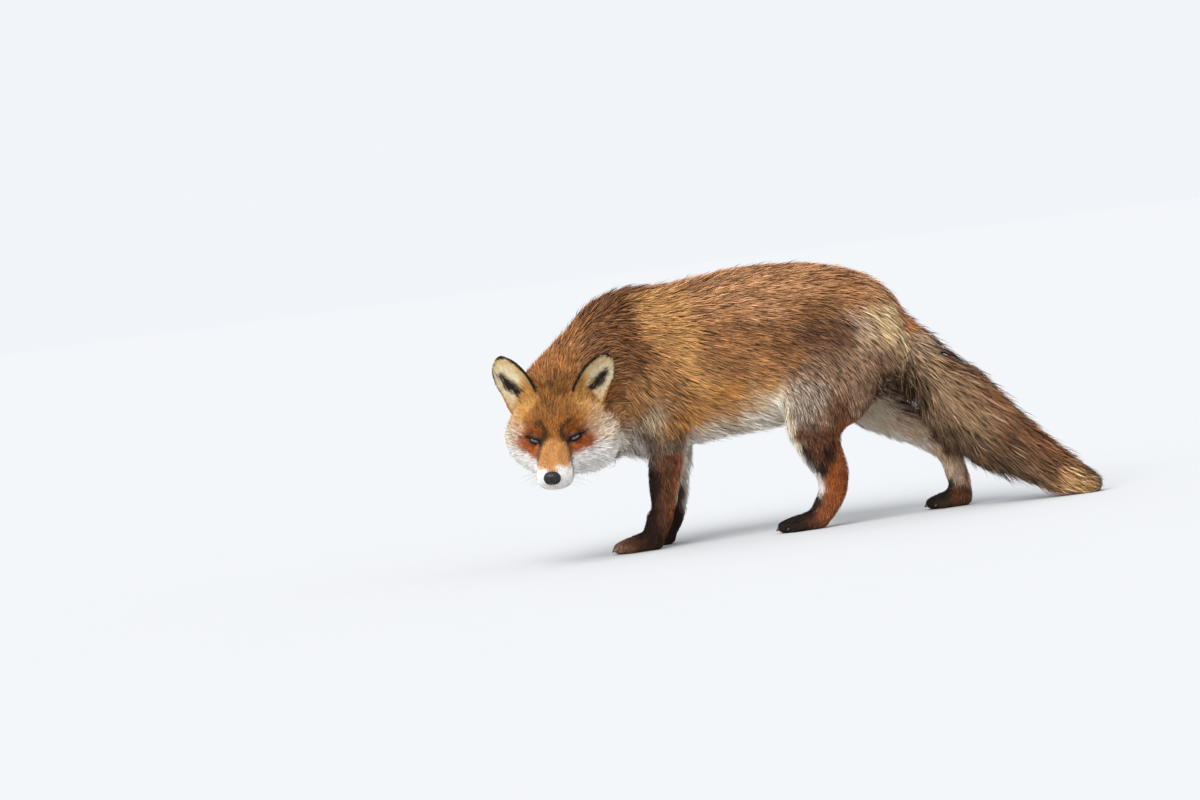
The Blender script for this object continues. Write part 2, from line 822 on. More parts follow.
# What the coat does at one place after another, by tone. Each row is a place in millimetres (three
# numbers), the lie of the hair there (three), the coat's depth and the hair's length, both in
# millimetres, and where it has one the share of its length by which hair may stand out past the
# outline. Rows of the head and the trunk that lie off the midline stand for both sides.
HEAD_GUIDES: Table = {
    Tone.BRIDGE: (
        (69, 0, -10.5, -1, 0, 0.4, 1, 3.5), (56, 0, -5, -1, 0, 0.25, 1.4, 4.5),
        (40, 0, -1, -1, 0, 0.25, 1.8, 5.5), (26, 0, 6, -1, 0, 0.4, 2.2, 6.5),
        (54, 12, -9, -1, 0.1, 0.15, 1.5, 5), (44, 16, -8, -1, 0.15, 0.1, 1.7, 5.5),
        (30, 17, -3, -1, 0.2, 0.2, 1.8, 6),
    ),
    Tone.FOREHEAD: (
        (14, 0, 15, -1, 0, 0.6, 2.5, 8), (13, 11, 11, -1, 0.25, 0.6, 2.4, 7.5),
        (2, 14, 22, -0.8, 0.2, 0.7, 2.8, 9), (-3, 30, 23, -0.8, 0.5, 0.5, 3.2, 10),
        (-10, 37, 25, -0.9, 0.5, 0.3, 4, 12),
    ),
    Tone.WHITE: (
        (67, 13, -18, -1, 0.4, 0, 1.2, 4), (60, 22, -26, -1, 0.35, -0.2, 1.8, 6),
        (50, 26.5, -29, -1, 0.3, -0.25, 2.2, 8), (66, 10, -38, -1, 0.2, -0.5, 1.6, 5),
        (55, 0, -45, -1, 0, -0.25, 2, 8), (32, 20, -47, -1, 0.2, -0.35, 3, 12),
        (36, 30, -24, -1, 0.4, -0.3, 2.4, 8), (23, 33.5, -21, -0.9, 0.6, -0.4, 3.2, 11),
        (13, 39.5, -22, -0.85, 0.7, -0.4, 4, 13), (0, 48, -26, -0.8, 0.7, -0.4, 6, 18),
        (2, 42, -50, -0.9, 0.3, -0.5, 8, 16, 0.15), (-18, 60, -36, -0.88, 0.4, -0.35, 10, 18, 0.08),
        (0, 0, -66, -1, 0, -0.45, 9, 20),
    ),
    Tone.RUST: (
        (21, 27.5, -9, -1, 0.6, -0.2, 2.2, 6), (11, 32, -10, -0.8, 0.8, -0.3, 2.4, 7),
        (4, 40, -9, -0.75, 0.9, -0.2, 3, 9), (-1, 44.5, -4, -0.8, 0.75, -0.05, 3.6, 10),
        (1, 38, 10, -0.8, 0.6, 0.5, 2.2, 7), (6, 26, 12, -0.75, 0.4, 0.8, 2.2, 7),
    ),
    Tone.CHEEK: (
        (-6, 52, 1, -0.85, 0.7, 0, 5, 14), (-12, 56, -8, -0.85, 0.7, -0.1, 6, 14),
        (-24, 64, -4, -0.85, 0.6, -0.1, 8, 16), (-33, 66, -18, -0.92, 0.25, -0.25, 9, 16, 0.05),
    ),
    Tone.CROWN: (
        (-10, 0, 30, -0.9, 0, 0.45, 3.8, 11), (-16, 20, 32, -0.9, 0.2, 0.4, 4.2, 12),
        (-40, 0, 42, -1, 0, 0.15, 6, 16), (-44, 16, 42, -1, 0.1, 0.1, 6, 16),
    ),
    Tone.SAND: ((-34, 36, 34, -0.9, 0.3, 0.3, 4, 12), (-20, 44, 26, -0.9, 0.5, 0.2, 4, 11)),
    Tone.BUFF: ((-12, 50, 13, -0.9, 0.5, 0.1, 5, 13), (-30, 60, 14, -0.9, 0.45, 0.1, 6, 14)),
    Tone.NECK: ((-41, 70, 4, -0.95, 0.15, -0.15, 8, 18),),
    Tone.NECK_SIDE: ((-43, 69, -12, -0.95, 0.05, -0.25, 9, 16),),
    Tone.SHOULDER: (
        (-52, 76, -6, -0.95, 0.05, -0.2, 10, 20), (-66, 70, -10, -0.95, 0.05, -0.2, 11, 22),
    ),
    Tone.RUFF: (
        (-43, 68, -30, -0.94, 0.05, -0.35, 11, 18, 0.05),
        (-34, 66, -46, -0.92, 0.1, -0.45, 12, 20, 0.15),
        (-18, 45, -60, -0.92, 0.15, -0.5, 12, 20, 0.2),
    ),
    Tone.THROAT: ((-40, 0, -76, -0.9, 0, -0.6, 14, 34, 0.3),),
    Tone.NAPE: ((-66, 60, 20, -1, 0.35, -0.1, 10, 24), (-66, 0, 42, -1, 0, -0.1, 9, 22)),
}
TRUNK_GUIDES: Table = {
    Tone.NECK: (
        (-40, 0, 335, 0.85, 0.2, 0.35, 15, 34), (15, 0, 366, 0.97, 0, 0.05, 14, 34, 0.1),
        (-2, 66, 316, 0.9, 0, -0.38, 14, 32), (10, 82, 280, 0.85, 0, -0.5, 13, 30),
    ),
    Tone.SHOULDER: (
        (12, 88, 225, 0.6, 0, -0.8, 12, 28), (45, 88, 250, 0.75, 0, -0.65, 13, 30),
        (68, 92, 225, 0.85, 0, -0.52, 13, 32), (60, 88, 180, 0.4, 0, -0.92, 9, 24),
    ),
    Tone.GOLD: (
        (40, 70, 325, 0.9, 0, -0.35, 13, 30), (60, 60, 345, 0.98, 0, -0.2, 13, 32),
        (75, 88, 290, 0.93, 0, -0.35, 13, 32), (100, 93, 240, 0.9, 0, -0.42, 13, 32),
        (104, 72, 160, 0.9, 0, -0.48, 14, 34, 0.2), (160, 80, 184, 0.9, 0, -0.46, 14, 34),
    ),
    Tone.BACK: (
        (55, 0, 371, 1, 0, 0, 14, 34, 0.06), (120, 0, 374, 1, 0, 0, 13, 34, 0.05),
        (120, 60, 350, 0.98, 0, -0.18, 13, 34), (190, 0, 378, 1, 0, -0.02, 13, 34, 0.05),
        (190, 60, 352, 0.98, 0, -0.18, 13, 34), (195, 84, 322, 0.96, 0, -0.25, 13, 34),
        (260, 0, 375, 1, 0, -0.06, 13, 34, 0.05), (260, 60, 348, 0.96, 0, -0.28, 13, 34),
        (320, 0, 364, 0.97, 0, -0.22, 14, 36, 0.05), (355, 0, 346, 0.85, 0, -0.5, 15, 36, 0.05),
        (352, 50, 322, 0.8, 0, -0.6, 14, 32),
    ),
    Tone.GOLD_LOW: (
        (82, 84, 185, 0.8, 0, -0.6, 13, 32), (130, 92, 212, 0.92, 0, -0.38, 13, 34),
        (135, 82, 178, 0.92, 0, -0.38, 14, 36), (188, 94, 215, 0.9, 0, -0.42, 13, 34),
    ),
    Tone.FLANK: (
        (130, 93, 300, 0.94, 0, -0.32, 13, 34), (130, 95, 250, 0.92, 0, -0.38, 13, 34),
        (190, 95, 245, 0.92, 0, -0.38, 13, 34), (320, 60, 335, 0.9, 0, -0.42, 13, 34),
    ),
    Tone.FLANK_DARK: (
        (195, 94, 285, 0.94, 0, -0.32, 13, 34), (258, 80, 318, 0.94, 0, -0.32, 13, 34),
        (232, 94, 252, 0.85, 0, -0.5, 12, 30),
    ),
    Tone.CREAM: (
        (190, 86, 190, 0.9, 0, -0.42, 14, 34), (212, 84, 178, 0.85, 0, -0.5, 12, 30),
        (165, 70, 168, 0.9, 0, -0.48, 14, 34, 0.2), (206, 72, 176, 0.8, 0, -0.6, 12, 30, 0.2),
        (235, 30, 160, 0.85, 0, -0.5, 12, 30),
    ),
    Tone.REAR: ((262, 92, 278, 0.92, 0, -0.4, 13, 32), (305, 88, 285, 0.72, 0, -0.7, 13, 30)),
    Tone.THIGH: (
        (250, 92, 232, 0.75, 0, -0.65, 12, 28), (300, 94, 225, 0.5, 0, -0.86, 12, 28),
        (355, 82, 240, 0.45, 0, -0.88, 12, 28),
    ),
    Tone.FROST: ((240, 90, 208, 0.7, 0, -0.7, 12, 28), (262, 90, 190, 0.3, 0, -0.95, 11, 26)),
    Tone.HIP: ((338, 78, 288, 0.7, 0, -0.7, 13, 30), (408, 28, 248, 0.62, 0, -0.76, 15, 34)),
    Tone.RUMP_TOP: ((380, 12, 322, 0.8, 0, -0.58, 16, 36),),
    Tone.RUMP: (
        (362, 50, 302, 0.76, 0, -0.65, 14, 32), (368, 60, 288, 0.7, 0, -0.7, 14, 32, 0.1),
        (386, 48, 262, 0.65, 0, -0.75, 14, 32, 0.1),
    ),
    Tone.TAIL_DARK: ((426, 0, 266, 0.62, 0, -0.76, 15, 34, 0.05),),
    Tone.BELLY: (
        (50, 0, 132, 0.95, 0, -0.3, 14, 34, 0.15), (110, 0, 143, 0.95, 0, -0.35, 14, 34, 0.3),
        (104, 50, 150, 0.9, 0, -0.48, 14, 34, 0.35), (180, 0, 150, 0.95, 0, -0.35, 14, 34, 0.3),
        (165, 52, 158, 0.9, 0, -0.48, 14, 34, 0.35),
    ),
    Tone.NECK_LOW: ((36, 88, 190, 0.35, 0, -0.94, 9, 24),),
    Tone.SLEEVE: ((30, 80, 165, 0.2, 0, -0.97, 7, 20),),
}
NECK_GUIDES: Table = {
    Tone.NAPE: (
        (-118, -80, 262, 0.62, 0.7, 0.34, 13, 28), (-88, -40, 285, 0.72, 0.62, 0.3, 15, 32),
    ),
    Tone.NECK: (
        (-128, -20, 225, 0.66, 0.74, 0.1, 15, 32), (-20, -105, 270, 0.8, 0.5, 0.05, 15, 32),
        (-35, 65, 260, 0.85, 0.4, -0.2, 15, 32),
    ),
    Tone.THROAT: (
        (-110, -10, 165, 0.6, 0.7, -0.4, 17, 36, 0.3),
        (-12, -100, 150, 0.5, 0.15, -0.9, 17, 38, 0.45),
        (-45, -100, 130, 0.6, 0.2, -0.75, 18, 38, 0.45),
        (-10, -50, 135, 0.5, 0.1, -0.85, 18, 38, 0.45),
        (0, -70, 172, 0.45, 0.1, -0.88, 16, 36, 0.3), (6, -50, 160, 0.4, 0.05, -0.9, 15, 36, 0.6),
        (18, -40, 152, 0.3, 0, -0.95, 13, 34, 0.6), (0, -20, 150, 0.4, 0, -0.9, 16, 38, 0.6),
        (-50, -20, 140, 0.55, 0.1, -0.8, 18, 38, 0.3),
    ),
    Tone.NECK_SIDE: ((-12, -110, 215, 0.75, 0.42, -0.5, 16, 34),),
    Tone.NECK_LOW: (
        (28, -100, 200, 0.6, 0.2, -0.8, 13, 30), (2, -105, 180, 0.6, 0.25, -0.8, 16, 34, 0.2),
        (-40, 60, 180, 0.7, 0.3, -0.6, 16, 34),
    ),
    Tone.SLEEVE: ((10, -100, 155, 0.5, 0.15, -0.85, 16, 34, 0.3),),
    Tone.TAIL_RED: ((494, -66, 124, 0.7, 0, -0.7, 24, 52, 0.08),),
}
LEFT_FORELEG_GUIDES: Table = {
    Tone.SLEEVE: ((60, -70, 155, 0.2, 0, -0.97, 6, 16), (34, -68, 142, 0.05, 0, -1, 4.5, 13)),
    Tone.UMBER: (
        (56, -70, 130, 0.1, 0, -1, 4.5, 13), (50, -68, 102, 0.05, 0, -1, 3.2, 10),
        (56, -66, 84, 0.05, 0, -1, 3.2, 10), (44, -62, 74, 0, 0, -1, 2.8, 9),
        (42, -60, 52, 0, 0, -1, 2.8, 9), (42, -55, 32, 0, 0, -1, 2.4, 8),
        (-12, -43, 22, -0.85, 0, -0.5, 1.8, 6),
    ),
    Tone.RUFOUS: (
        (77, -62, 122, 0.25, 0, -0.95, 5, 15), (66, -60, 92, 0.15, 0, -1, 3.5, 12),
        (56, -50, 55, 0.1, 0, -1, 3, 10),
    ),
    Tone.FRINGE: (
        (82, -45, 128, 0.45, 0, -0.9, 6, 20, 0.2), (66, -36, 86, 0.35, 0, -0.95, 4, 14, 0.2),
    ),
    Tone.INNER: ((52, -24, 120, 0.1, 0, -1, 4, 12),),
    Tone.LIVER: (
        (24, -52, 110, 0, 0, -1, 3, 9), (34, -62, 98, 0, 0, -1, 3, 9),
        (28, -58, 78, 0, 0, -1, 2.8, 9), (28, -58, 54, 0, 0, -1, 2.8, 9),
        (12, -43, 34, -0.4, 0, -0.9, 2.2, 7), (26, -56, 30, -0.1, 0, -1, 2.4, 8),
        (50, -46, 22, 0, 0, -1, 2.2, 7), (4, -43, 30, -0.7, 0, -0.7, 2, 7),
    ),
    Tone.BLACK: ((18, -46, 60, -0.05, 0, -1, 2.6, 8),),
    Tone.THIGH: ((-30, -43, 14, -0.9, 0, -0.5, 1.5, 5),),
}
RIGHT_FORELEG_GUIDES: Table = {
    Tone.SLEEVE: ((78, 66, 140, 0.2, 0, -0.97, 6, 16),),
    Tone.BLACK: (
        (48, 55, 115, 0.05, 0, -1, 4, 12), (42, 50, 75, 0, 0, -1, 3, 9),
        (34, 43, 45, -0.1, 0, -1, 2.4, 8), (0, 43, 18, -0.9, 0, -0.5, 1.6, 5),
    ),
    Tone.FRINGE: (
        (92, 40, 118, 0.35, 0, -0.95, 6, 20, 0.3), (88, 44, 80, 0.25, 0, -1, 4, 14, 0.3),
        (78, 44, 55, 0.1, 0, -1, 3, 10, 0.2),
    ),
    Tone.INNER: ((70, 24, 112, 0.2, 0, -1, 4, 12),),
    Tone.UMBER: ((60, 24, 75, 0, 0, -1, 3, 9), (62, 66, 80, 0, 0, -1, 3, 10)),
    Tone.LIVER: ((56, 30, 45, 0, 0, -1, 3, 10), (66, 40, 25, 0, 0, -1, 2.4, 8)),
}
LEFT_HINDLEG_GUIDES: Table = {
    Tone.CREAM: (
        (224, -74, 156, 0.15, 0, -1, 8, 20, 0.15), (228, -66, 130, 0.25, 0, -0.97, 5, 15, 0.15),
    ),
    Tone.FRINGE: (
        (234, -60, 106, 0.3, 0, -0.95, 4, 13, 0.15), (250, -56, 78, 0.2, 0, -0.98, 3.2, 10),
        (262, -58, 61, 0.1, 0, -1, 3, 9),
    ),
    Tone.FROST: ((248, -88, 172, 0.2, 0, -0.98, 9, 22),),
    Tone.SLEEVE: ((256, -90, 158, 0.1, 0, -1, 7, 18),),
    Tone.THIGH: ((276, -92, 166, 0.1, 0, -1, 8, 20), (330, -80, 180, 0.15, 0, -1, 8, 20)),
    Tone.REAR: ((300, -90, 176, 0.05, 0, -1, 8, 20),),
    Tone.UMBER: (
        (244, -78, 142, 0.2, 0, -0.98, 4.5, 13), (266, -86, 138, 0.15, 0, -0.98, 4.5, 13),
        (260, -80, 112, 0.2, 0, -0.98, 4.2, 12), (290, -84, 132, 0.05, 0, -1, 4.5, 13),
    ),
    Tone.LIVER: (
        (247, -70, 112, 0.2, 0, -0.98, 4.2, 12), (264, -72, 86, 0.15, 0, -0.98, 3.6, 11),
        (280, -80, 108, 0.08, 0, -1, 4.2, 12), (254, -56, 46, -0.15, 0, -1, 2.6, 8),
    ),
    Tone.RUFOUS: (
        (310, -70, 132, -0.02, 0, -1, 4.5, 13), (300, -70, 104, -0.02, 0, -1, 4, 12),
        (268, -64, 28, -0.3, 0, -0.95, 2.4, 8),
    ),
    Tone.INNER: ((272, -34, 120, 0.1, 0, -1, 5, 13),),
    Tone.HOCK: (
        (288, -74, 80, 0, 0, -1, 3.2, 10), (308, -52, 80, 0, 0, -1, 3.5, 11),
        (276, -70, 66, -0.05, 0, -1, 3, 9), (272, -68, 48, -0.1, 0, -1, 2.8, 9),
        (296, -52, 50, -0.1, 0, -1, 3, 9),
    ),
    Tone.BLACK: (
        (246, -52, 28, -0.6, 0, -0.8, 2, 7), (222, -50, 22, -0.85, 0, -0.5, 1.8, 6),
        (202, -50, 13, -0.9, 0, -0.5, 1.5, 5),
    ),
}
RIGHT_HINDLEG_GUIDES: Table = {
    Tone.CREAM: ((300, 30, 175, 0.5, 0, -0.86, 9, 24, 0.15),),
    Tone.FRINGE: (
        (316, 30, 136, 0.8, 0, -0.6, 7, 20, 0.2), (345, 34, 118, 0.85, 0, -0.5, 6, 18, 0.2),
        (376, 36, 102, 0.85, 0, -0.5, 5, 15, 0.2), (402, 38, 92, 0.8, 0, -0.6, 5, 14, 0.15),
        (484, 50, 40, 0.1, 0, -1, 3, 10, 0.2),
    ),
    Tone.PINK: (
        (426, 42, 76, 0.5, 0, -0.85, 4, 12), (446, 42, 56, 0.1, 0, -1, 3, 10),
        (404, 37, 116, 0.8, 0, -0.6, 5, 13), (464, 40, 48, 0, 0, -1, 2.8, 9),
    ),
    Tone.FROST: ((310, 85, 175, 0.45, 0, -0.9, 8, 22),),
    Tone.INNER: (
        (335, 32, 165, 0.6, 0, -0.8, 8, 22), (352, 34, 140, 0.7, 0, -0.7, 7, 18),
        (375, 34, 132, 0.75, 0, -0.65, 6, 16),
    ),
    Tone.REAR: ((385, 90, 150, 0.65, 0, -0.75, 6, 18), (400, 50, 160, 0.8, 0, -0.6, 10, 44, 0.9)),
    Tone.RUFOUS: (
        (420, 82, 120, 0.75, 0, -0.65, 4.5, 13), (474, 50, 85, 0.05, 0, -1, 3.5, 11),
        (466, 68, 50, 0, 0, -1, 2.8, 9),
    ),
    Tone.UMBER: (
        (440, 46, 112, 0.6, 0, -0.8, 4.5, 13), (455, 44, 90, 0.2, 0, -1, 3.2, 10),
        (462, 40, 20, 0, 0, -1, 2.6, 8),
    ),
    Tone.BLACK: (
        (442, 44, 40, 0, 0, -1, 2.6, 8), (440, 50, 20, -0.85, 0, -0.5, 1.8, 6),
        (418, 50, 13, -0.9, 0, -0.5, 1.5, 5),
    ),
    Tone.HOCK: ((477, 46, 44, 0, 0, -1, 3, 10),),
}
ONE_SIDED = (
    NECK_GUIDES,
    LEFT_FORELEG_GUIDES,
    RIGHT_FORELEG_GUIDES,
    LEFT_HINDLEG_GUIDES,
    RIGHT_HINDLEG_GUIDES,
)

TAIL_PATH = (
    (385, -1, 262),
    (420, -6, 220),
    (474, -16, 150),
    (514, -22, 106),
    (556, -27, 67),
    (594, -30, 38),
    (628, -32, 20),
    (653, -33, 10),
)
TAIL_SIZES = (  # at each point of the path: radius, depth, hair length, looseness, hanging hair
    (36, 15, 34, 0.00, 0.9),
    (42, 20, 46, 0.06, 1.3),
    (47, 24, 54, 0.08, 0.8),
    (45, 24, 56, 0.08, 0.3),
    (40, 22, 54, 0.08, 0.0),
    (32, 17, 48, 0.08, 0.0),
    (22, 11, 38, 0.10, 0.0),
    (10, 4, 22, 0.12, 0.0),
)


@dataclass
class GuideSet:
    """All guides in the room's frame, and the blend of them at any place.

    A guide counts by one over its distance to the sixth power, so that each place follows its
    nearest guides and turns evenly from one to the next.
    """

    anatomy: Anatomy
    near: float = 0.006
    hangs_from: float = 120.0
    places: Array = field(init=False)
    traits: Array = field(init=False)

    def __post_init__(self) -> None:
        """Gathers the guides of the head, the trunk, the neck, the legs and the tail."""
        head = self._gathered(HEAD_GUIDES, True)
        rest = [self._gathered(TRUNK_GUIDES, True)]
        rest += [self._gathered(table, False) for table in (*ONE_SIDED, self._tail_guides())]
        head[:, :3] = self.anatomy.from_head(head[:, :3])
        head[:, 3:6] = head[:, 3:6] @ self.anatomy.turn.T
        body = np.concatenate(rest)
        body[:, :3] = self.anatomy.from_body(body[:, :3])
        rows = np.concatenate([head, body])
        self.places, self.traits = rows[:, :3], rows[:, 3:]

    @staticmethod
    def _gathered(table: Table, mirrored: bool) -> Array:
        """Returns a table's guides, each a row of its place and then its traits.

        Args:
            table: the guides by tone.
            mirrored: whether a guide off the midline stands for both sides.

        Returns:
            Rows in metres, in the table's own frame.
        """
        rows = []
        for tone, guides in table.items():
            rows += [(*(*guide, 0.0)[:9], *tone.root, *tone.tip, *tone.shares) for guide in guides]
        rows = np.array(rows)
        rows[:, (0, 1, 2, 6, 7)] /= 1000
        rows[:, 3:6] = unit(rows[:, 3:6])
        if mirrored:
            far = rows[rows[:, 1] != 0]
            far[:, (1, 4)] *= -1
            rows = np.concatenate([rows, far])
        return rows

    def _tail_guides(self) -> Table:
        """Returns rings of guides down the brush, by how far round from its top they lie."""
        top, side, low, dark = Tone.TAIL_TOP, Tone.TAIL_SIDE, Tone.TAIL_LOW, Tone.TAIL_DARK
        red, gold, tip, end = Tone.TAIL_RED, Tone.TAIL_GOLD, Tone.TAIL_TIP, Tone.TAIL_END
        tones = {
            0: (Tone.RUMP_TOP, dark, low, low, low, low, dark, end),
            50: (Tone.RUMP_TOP, red, top, top, top, red, dark, tip),
            90: (Tone.HIP, side, side, red, red, gold, tip, tip),
            106: (side, side, side, side, low, gold, gold, tip),
            123: (dark, dark, dark, dark, side, gold, gold, end),
            180: (dark, dark, dark, dark, low, gold, gold, end),
        }
        along = unit(np.gradient(np.array(TAIL_PATH, float), axis=0))
        over = np.cross(along, (0.0, 1.0, 0.0))
        made = {}
        for angle, row in tones.items():
            turn = math.radians(angle)
            for side in (1, -1) if 0 < angle < 180 else (1,):
                for i, tone in enumerate(row):
                    radius, depth, length, loose, hanging = TAIL_SIZES[i]
                    out = math.cos(turn) * over[i] + side * math.sin(turn) * np.array((0, 1, 0))
                    loose += hanging * (angle > self.hangs_from)
                    guide = (*(TAIL_PATH[i] + radius * out), *along[i], depth, length, loose)
                    made.setdefault(tone, []).append(guide)
        return made

    def at(self, points: Array, chunk: int = 20000) -> Array:
        """Returns the blended traits at each point.

        Args:
            points: the places.
            chunk: how many of them are worked out at once.

        Returns:
            One row of traits for each place.
        """
        rows = []
        for start in range(0, len(points), chunk):
            part = points[start : start + chunk]
            square = (part**2).sum(1)[:, None] + (self.places**2).sum(1) - 2 * part @ self.places.T
            weight = (np.maximum(square, 0) + self.near**2) ** -3.0
            rows.append(weight @ self.traits / weight.sum(1, keepdims=True))
        return np.concatenate(rows)


# --- The body as a block of distances -------------------------------------------------------
@dataclass
class Voxels:
    """A block of cubes round the fox, each holding a number, such as a distance to a surface."""

    low: Array
    high: Array
    size: float = 0.0022

    def __post_init__(self) -> None:
        """Sets the block's corner and its count of cubes."""
        self.low = np.floor(np.asarray(self.low) / self.size) * self.size
        self.shape = tuple(np.ceil((self.high - self.low) / self.size).astype(int) + 1)

    def _transform(self) -> openvdb.Transform:
        """Returns the way from cube numbers to places."""
        rows = np.diag([self.size, self.size, self.size, 1.0])
        rows[3, :3] = self.low
        return openvdb.createLinearTransform(rows.tolist())

    def distance(self, points: Array, faces: Array, outside: float, inside: float) -> Array:
        """Returns each cube's distance to a closed surface, negative inside it.

        Args:
            points: the surface's vertices.
            faces: its triangles or quads.
            outside: how far out the distance is wanted, in cubes.
            inside: how far in.

        Returns:
            One distance for each cube.
        """
        kind = "triangles" if faces.shape[1] == 3 else "quads"
        grid = openvdb.FloatGrid.createLevelSetFromPolygons(
            np.ascontiguousarray(points, np.float32),
            **{kind: np.ascontiguousarray(faces, np.uint32)},
            transform=self._transform(),
            exBandWidth=outside,
            inBandWidth=inside,
        )
        out = np.empty(self.shape, np.float32)
        grid.copyToArray(out)
        return out

    def surface(self, values: Array) -> tuple[Array, Array]:
        """Returns the surface where the values are 0.

        Args:
            values: one number for each cube.

        Returns:
            Its points and quads.
        """
        grid = openvdb.FloatGrid(3 * self.size)
        grid.transform = self._transform()
        grid.copyFromArray(np.ascontiguousarray(values, np.float32))
        points, quads = grid.convertToQuads(0.0)
        return np.asarray(points, float), np.asarray(quads, int)

    def sample(self, values: Array, points: Array) -> Array:
        """Returns the values at points, by the weighted mean of the eight cubes round each.

        Args:
            values: one number or one row of numbers for each cube.
            points: the places.

        Returns:
            One number or row for each place.
        """
        where = np.clip((points - self.low) / self.size, 0, np.array(self.shape) - 1.001)
        cell = where.astype(int)
        total = 0.0
        for corner, weight in corners(where - cell):
            value = values[tuple((cell + corner).T)]
            total = total + (value * weight if value.ndim == 1 else value * weight[:, None])
        return total

    @staticmethod
    def softened(values: Array, passes: int) -> Array:
        """Returns values, each drawn half-way to the mean of its two neighbours along each axis.

        Args:
            values: one number for each cube.
            passes: how often this is done.

        Returns:
            The softened values.
        """
        for _ in range(passes):
            for axis in range(3):
                values = 0.5 * values + 0.25 * (np.roll(values, 1, axis) + np.roll(values, -1, axis))
        return values

    def carry(self, values: Array, source: "Voxels") -> Array:
        """Returns another block's values at this block's cubes, evenly between its cubes.

        Args:
            values: the other block's values.
            source: the other block.

        Returns:
            One value for each of this block's cubes.
        """
        for axis, count in enumerate(self.shape):
            where = (self.low[axis] + self.size * np.arange(count) - source.low[axis]) / source.size
            where = np.clip(where, 0, values.shape[axis] - 1.001)
            cell = where.astype(int)
            shape = [1, 1, 1]
            shape[axis] = count
            t = (where - cell).reshape(shape).astype(np.float32)
            values = np.take(values, cell, axis) * (1 - t) + np.take(values, cell + 1, axis) * t
        return values

    def near(self, middle: Array, reach: float) -> tuple[slice, ...]:
        """Returns the part of the block within reach of a place along each axis.

        Args:
            middle: the place.
            reach: how far the part goes to either side of it.

        Returns:
            One slice for each axis.
        """
        low = np.maximum(((middle - reach - self.low) / self.size).astype(int), 0)
        high = ((middle + reach - self.low) / self.size).astype(int)
        return tuple(slice(a, min(b, n)) for a, b, n in zip(low, high, self.shape))

    def places(self, part: tuple[slice, ...] = (slice(None),) * 3) -> Array:
        """Returns the middle of every cube, or of every cube in a part of the block."""
        ranges = [self.low[a] + self.size * np.arange(self.shape[a])[part[a]] for a in range(3)]
        return np.stack(np.meshgrid(*ranges, indexing="ij"), axis=-1)


class Region(Enum):
    """Groups of solids that share one kind of coat."""

    HEAD = ("head", "nose", "eye_left", "eye_right")
    EAR_LEFT = ("ear_left",)
    EAR_RIGHT = ("ear_right",)
    NECK = ("neck",)
    TRUNK = ("trunk",)
    FORELEG_LEFT = ("foreleg_left", "forepaw_left")
    FORELEG_RIGHT = ("foreleg_right", "forepaw_right")
    HINDLEG_LEFT = ("shank_left", "hindpaw_left")
    HINDLEG_RIGHT = ("shank_right", "hindpaw_right")
    TAIL = ("tail_root", "tail_brush", "tail_tip")

    @property
    def number(self) -> int:
        """The region's place among the others."""
        return list(Region).index(self)


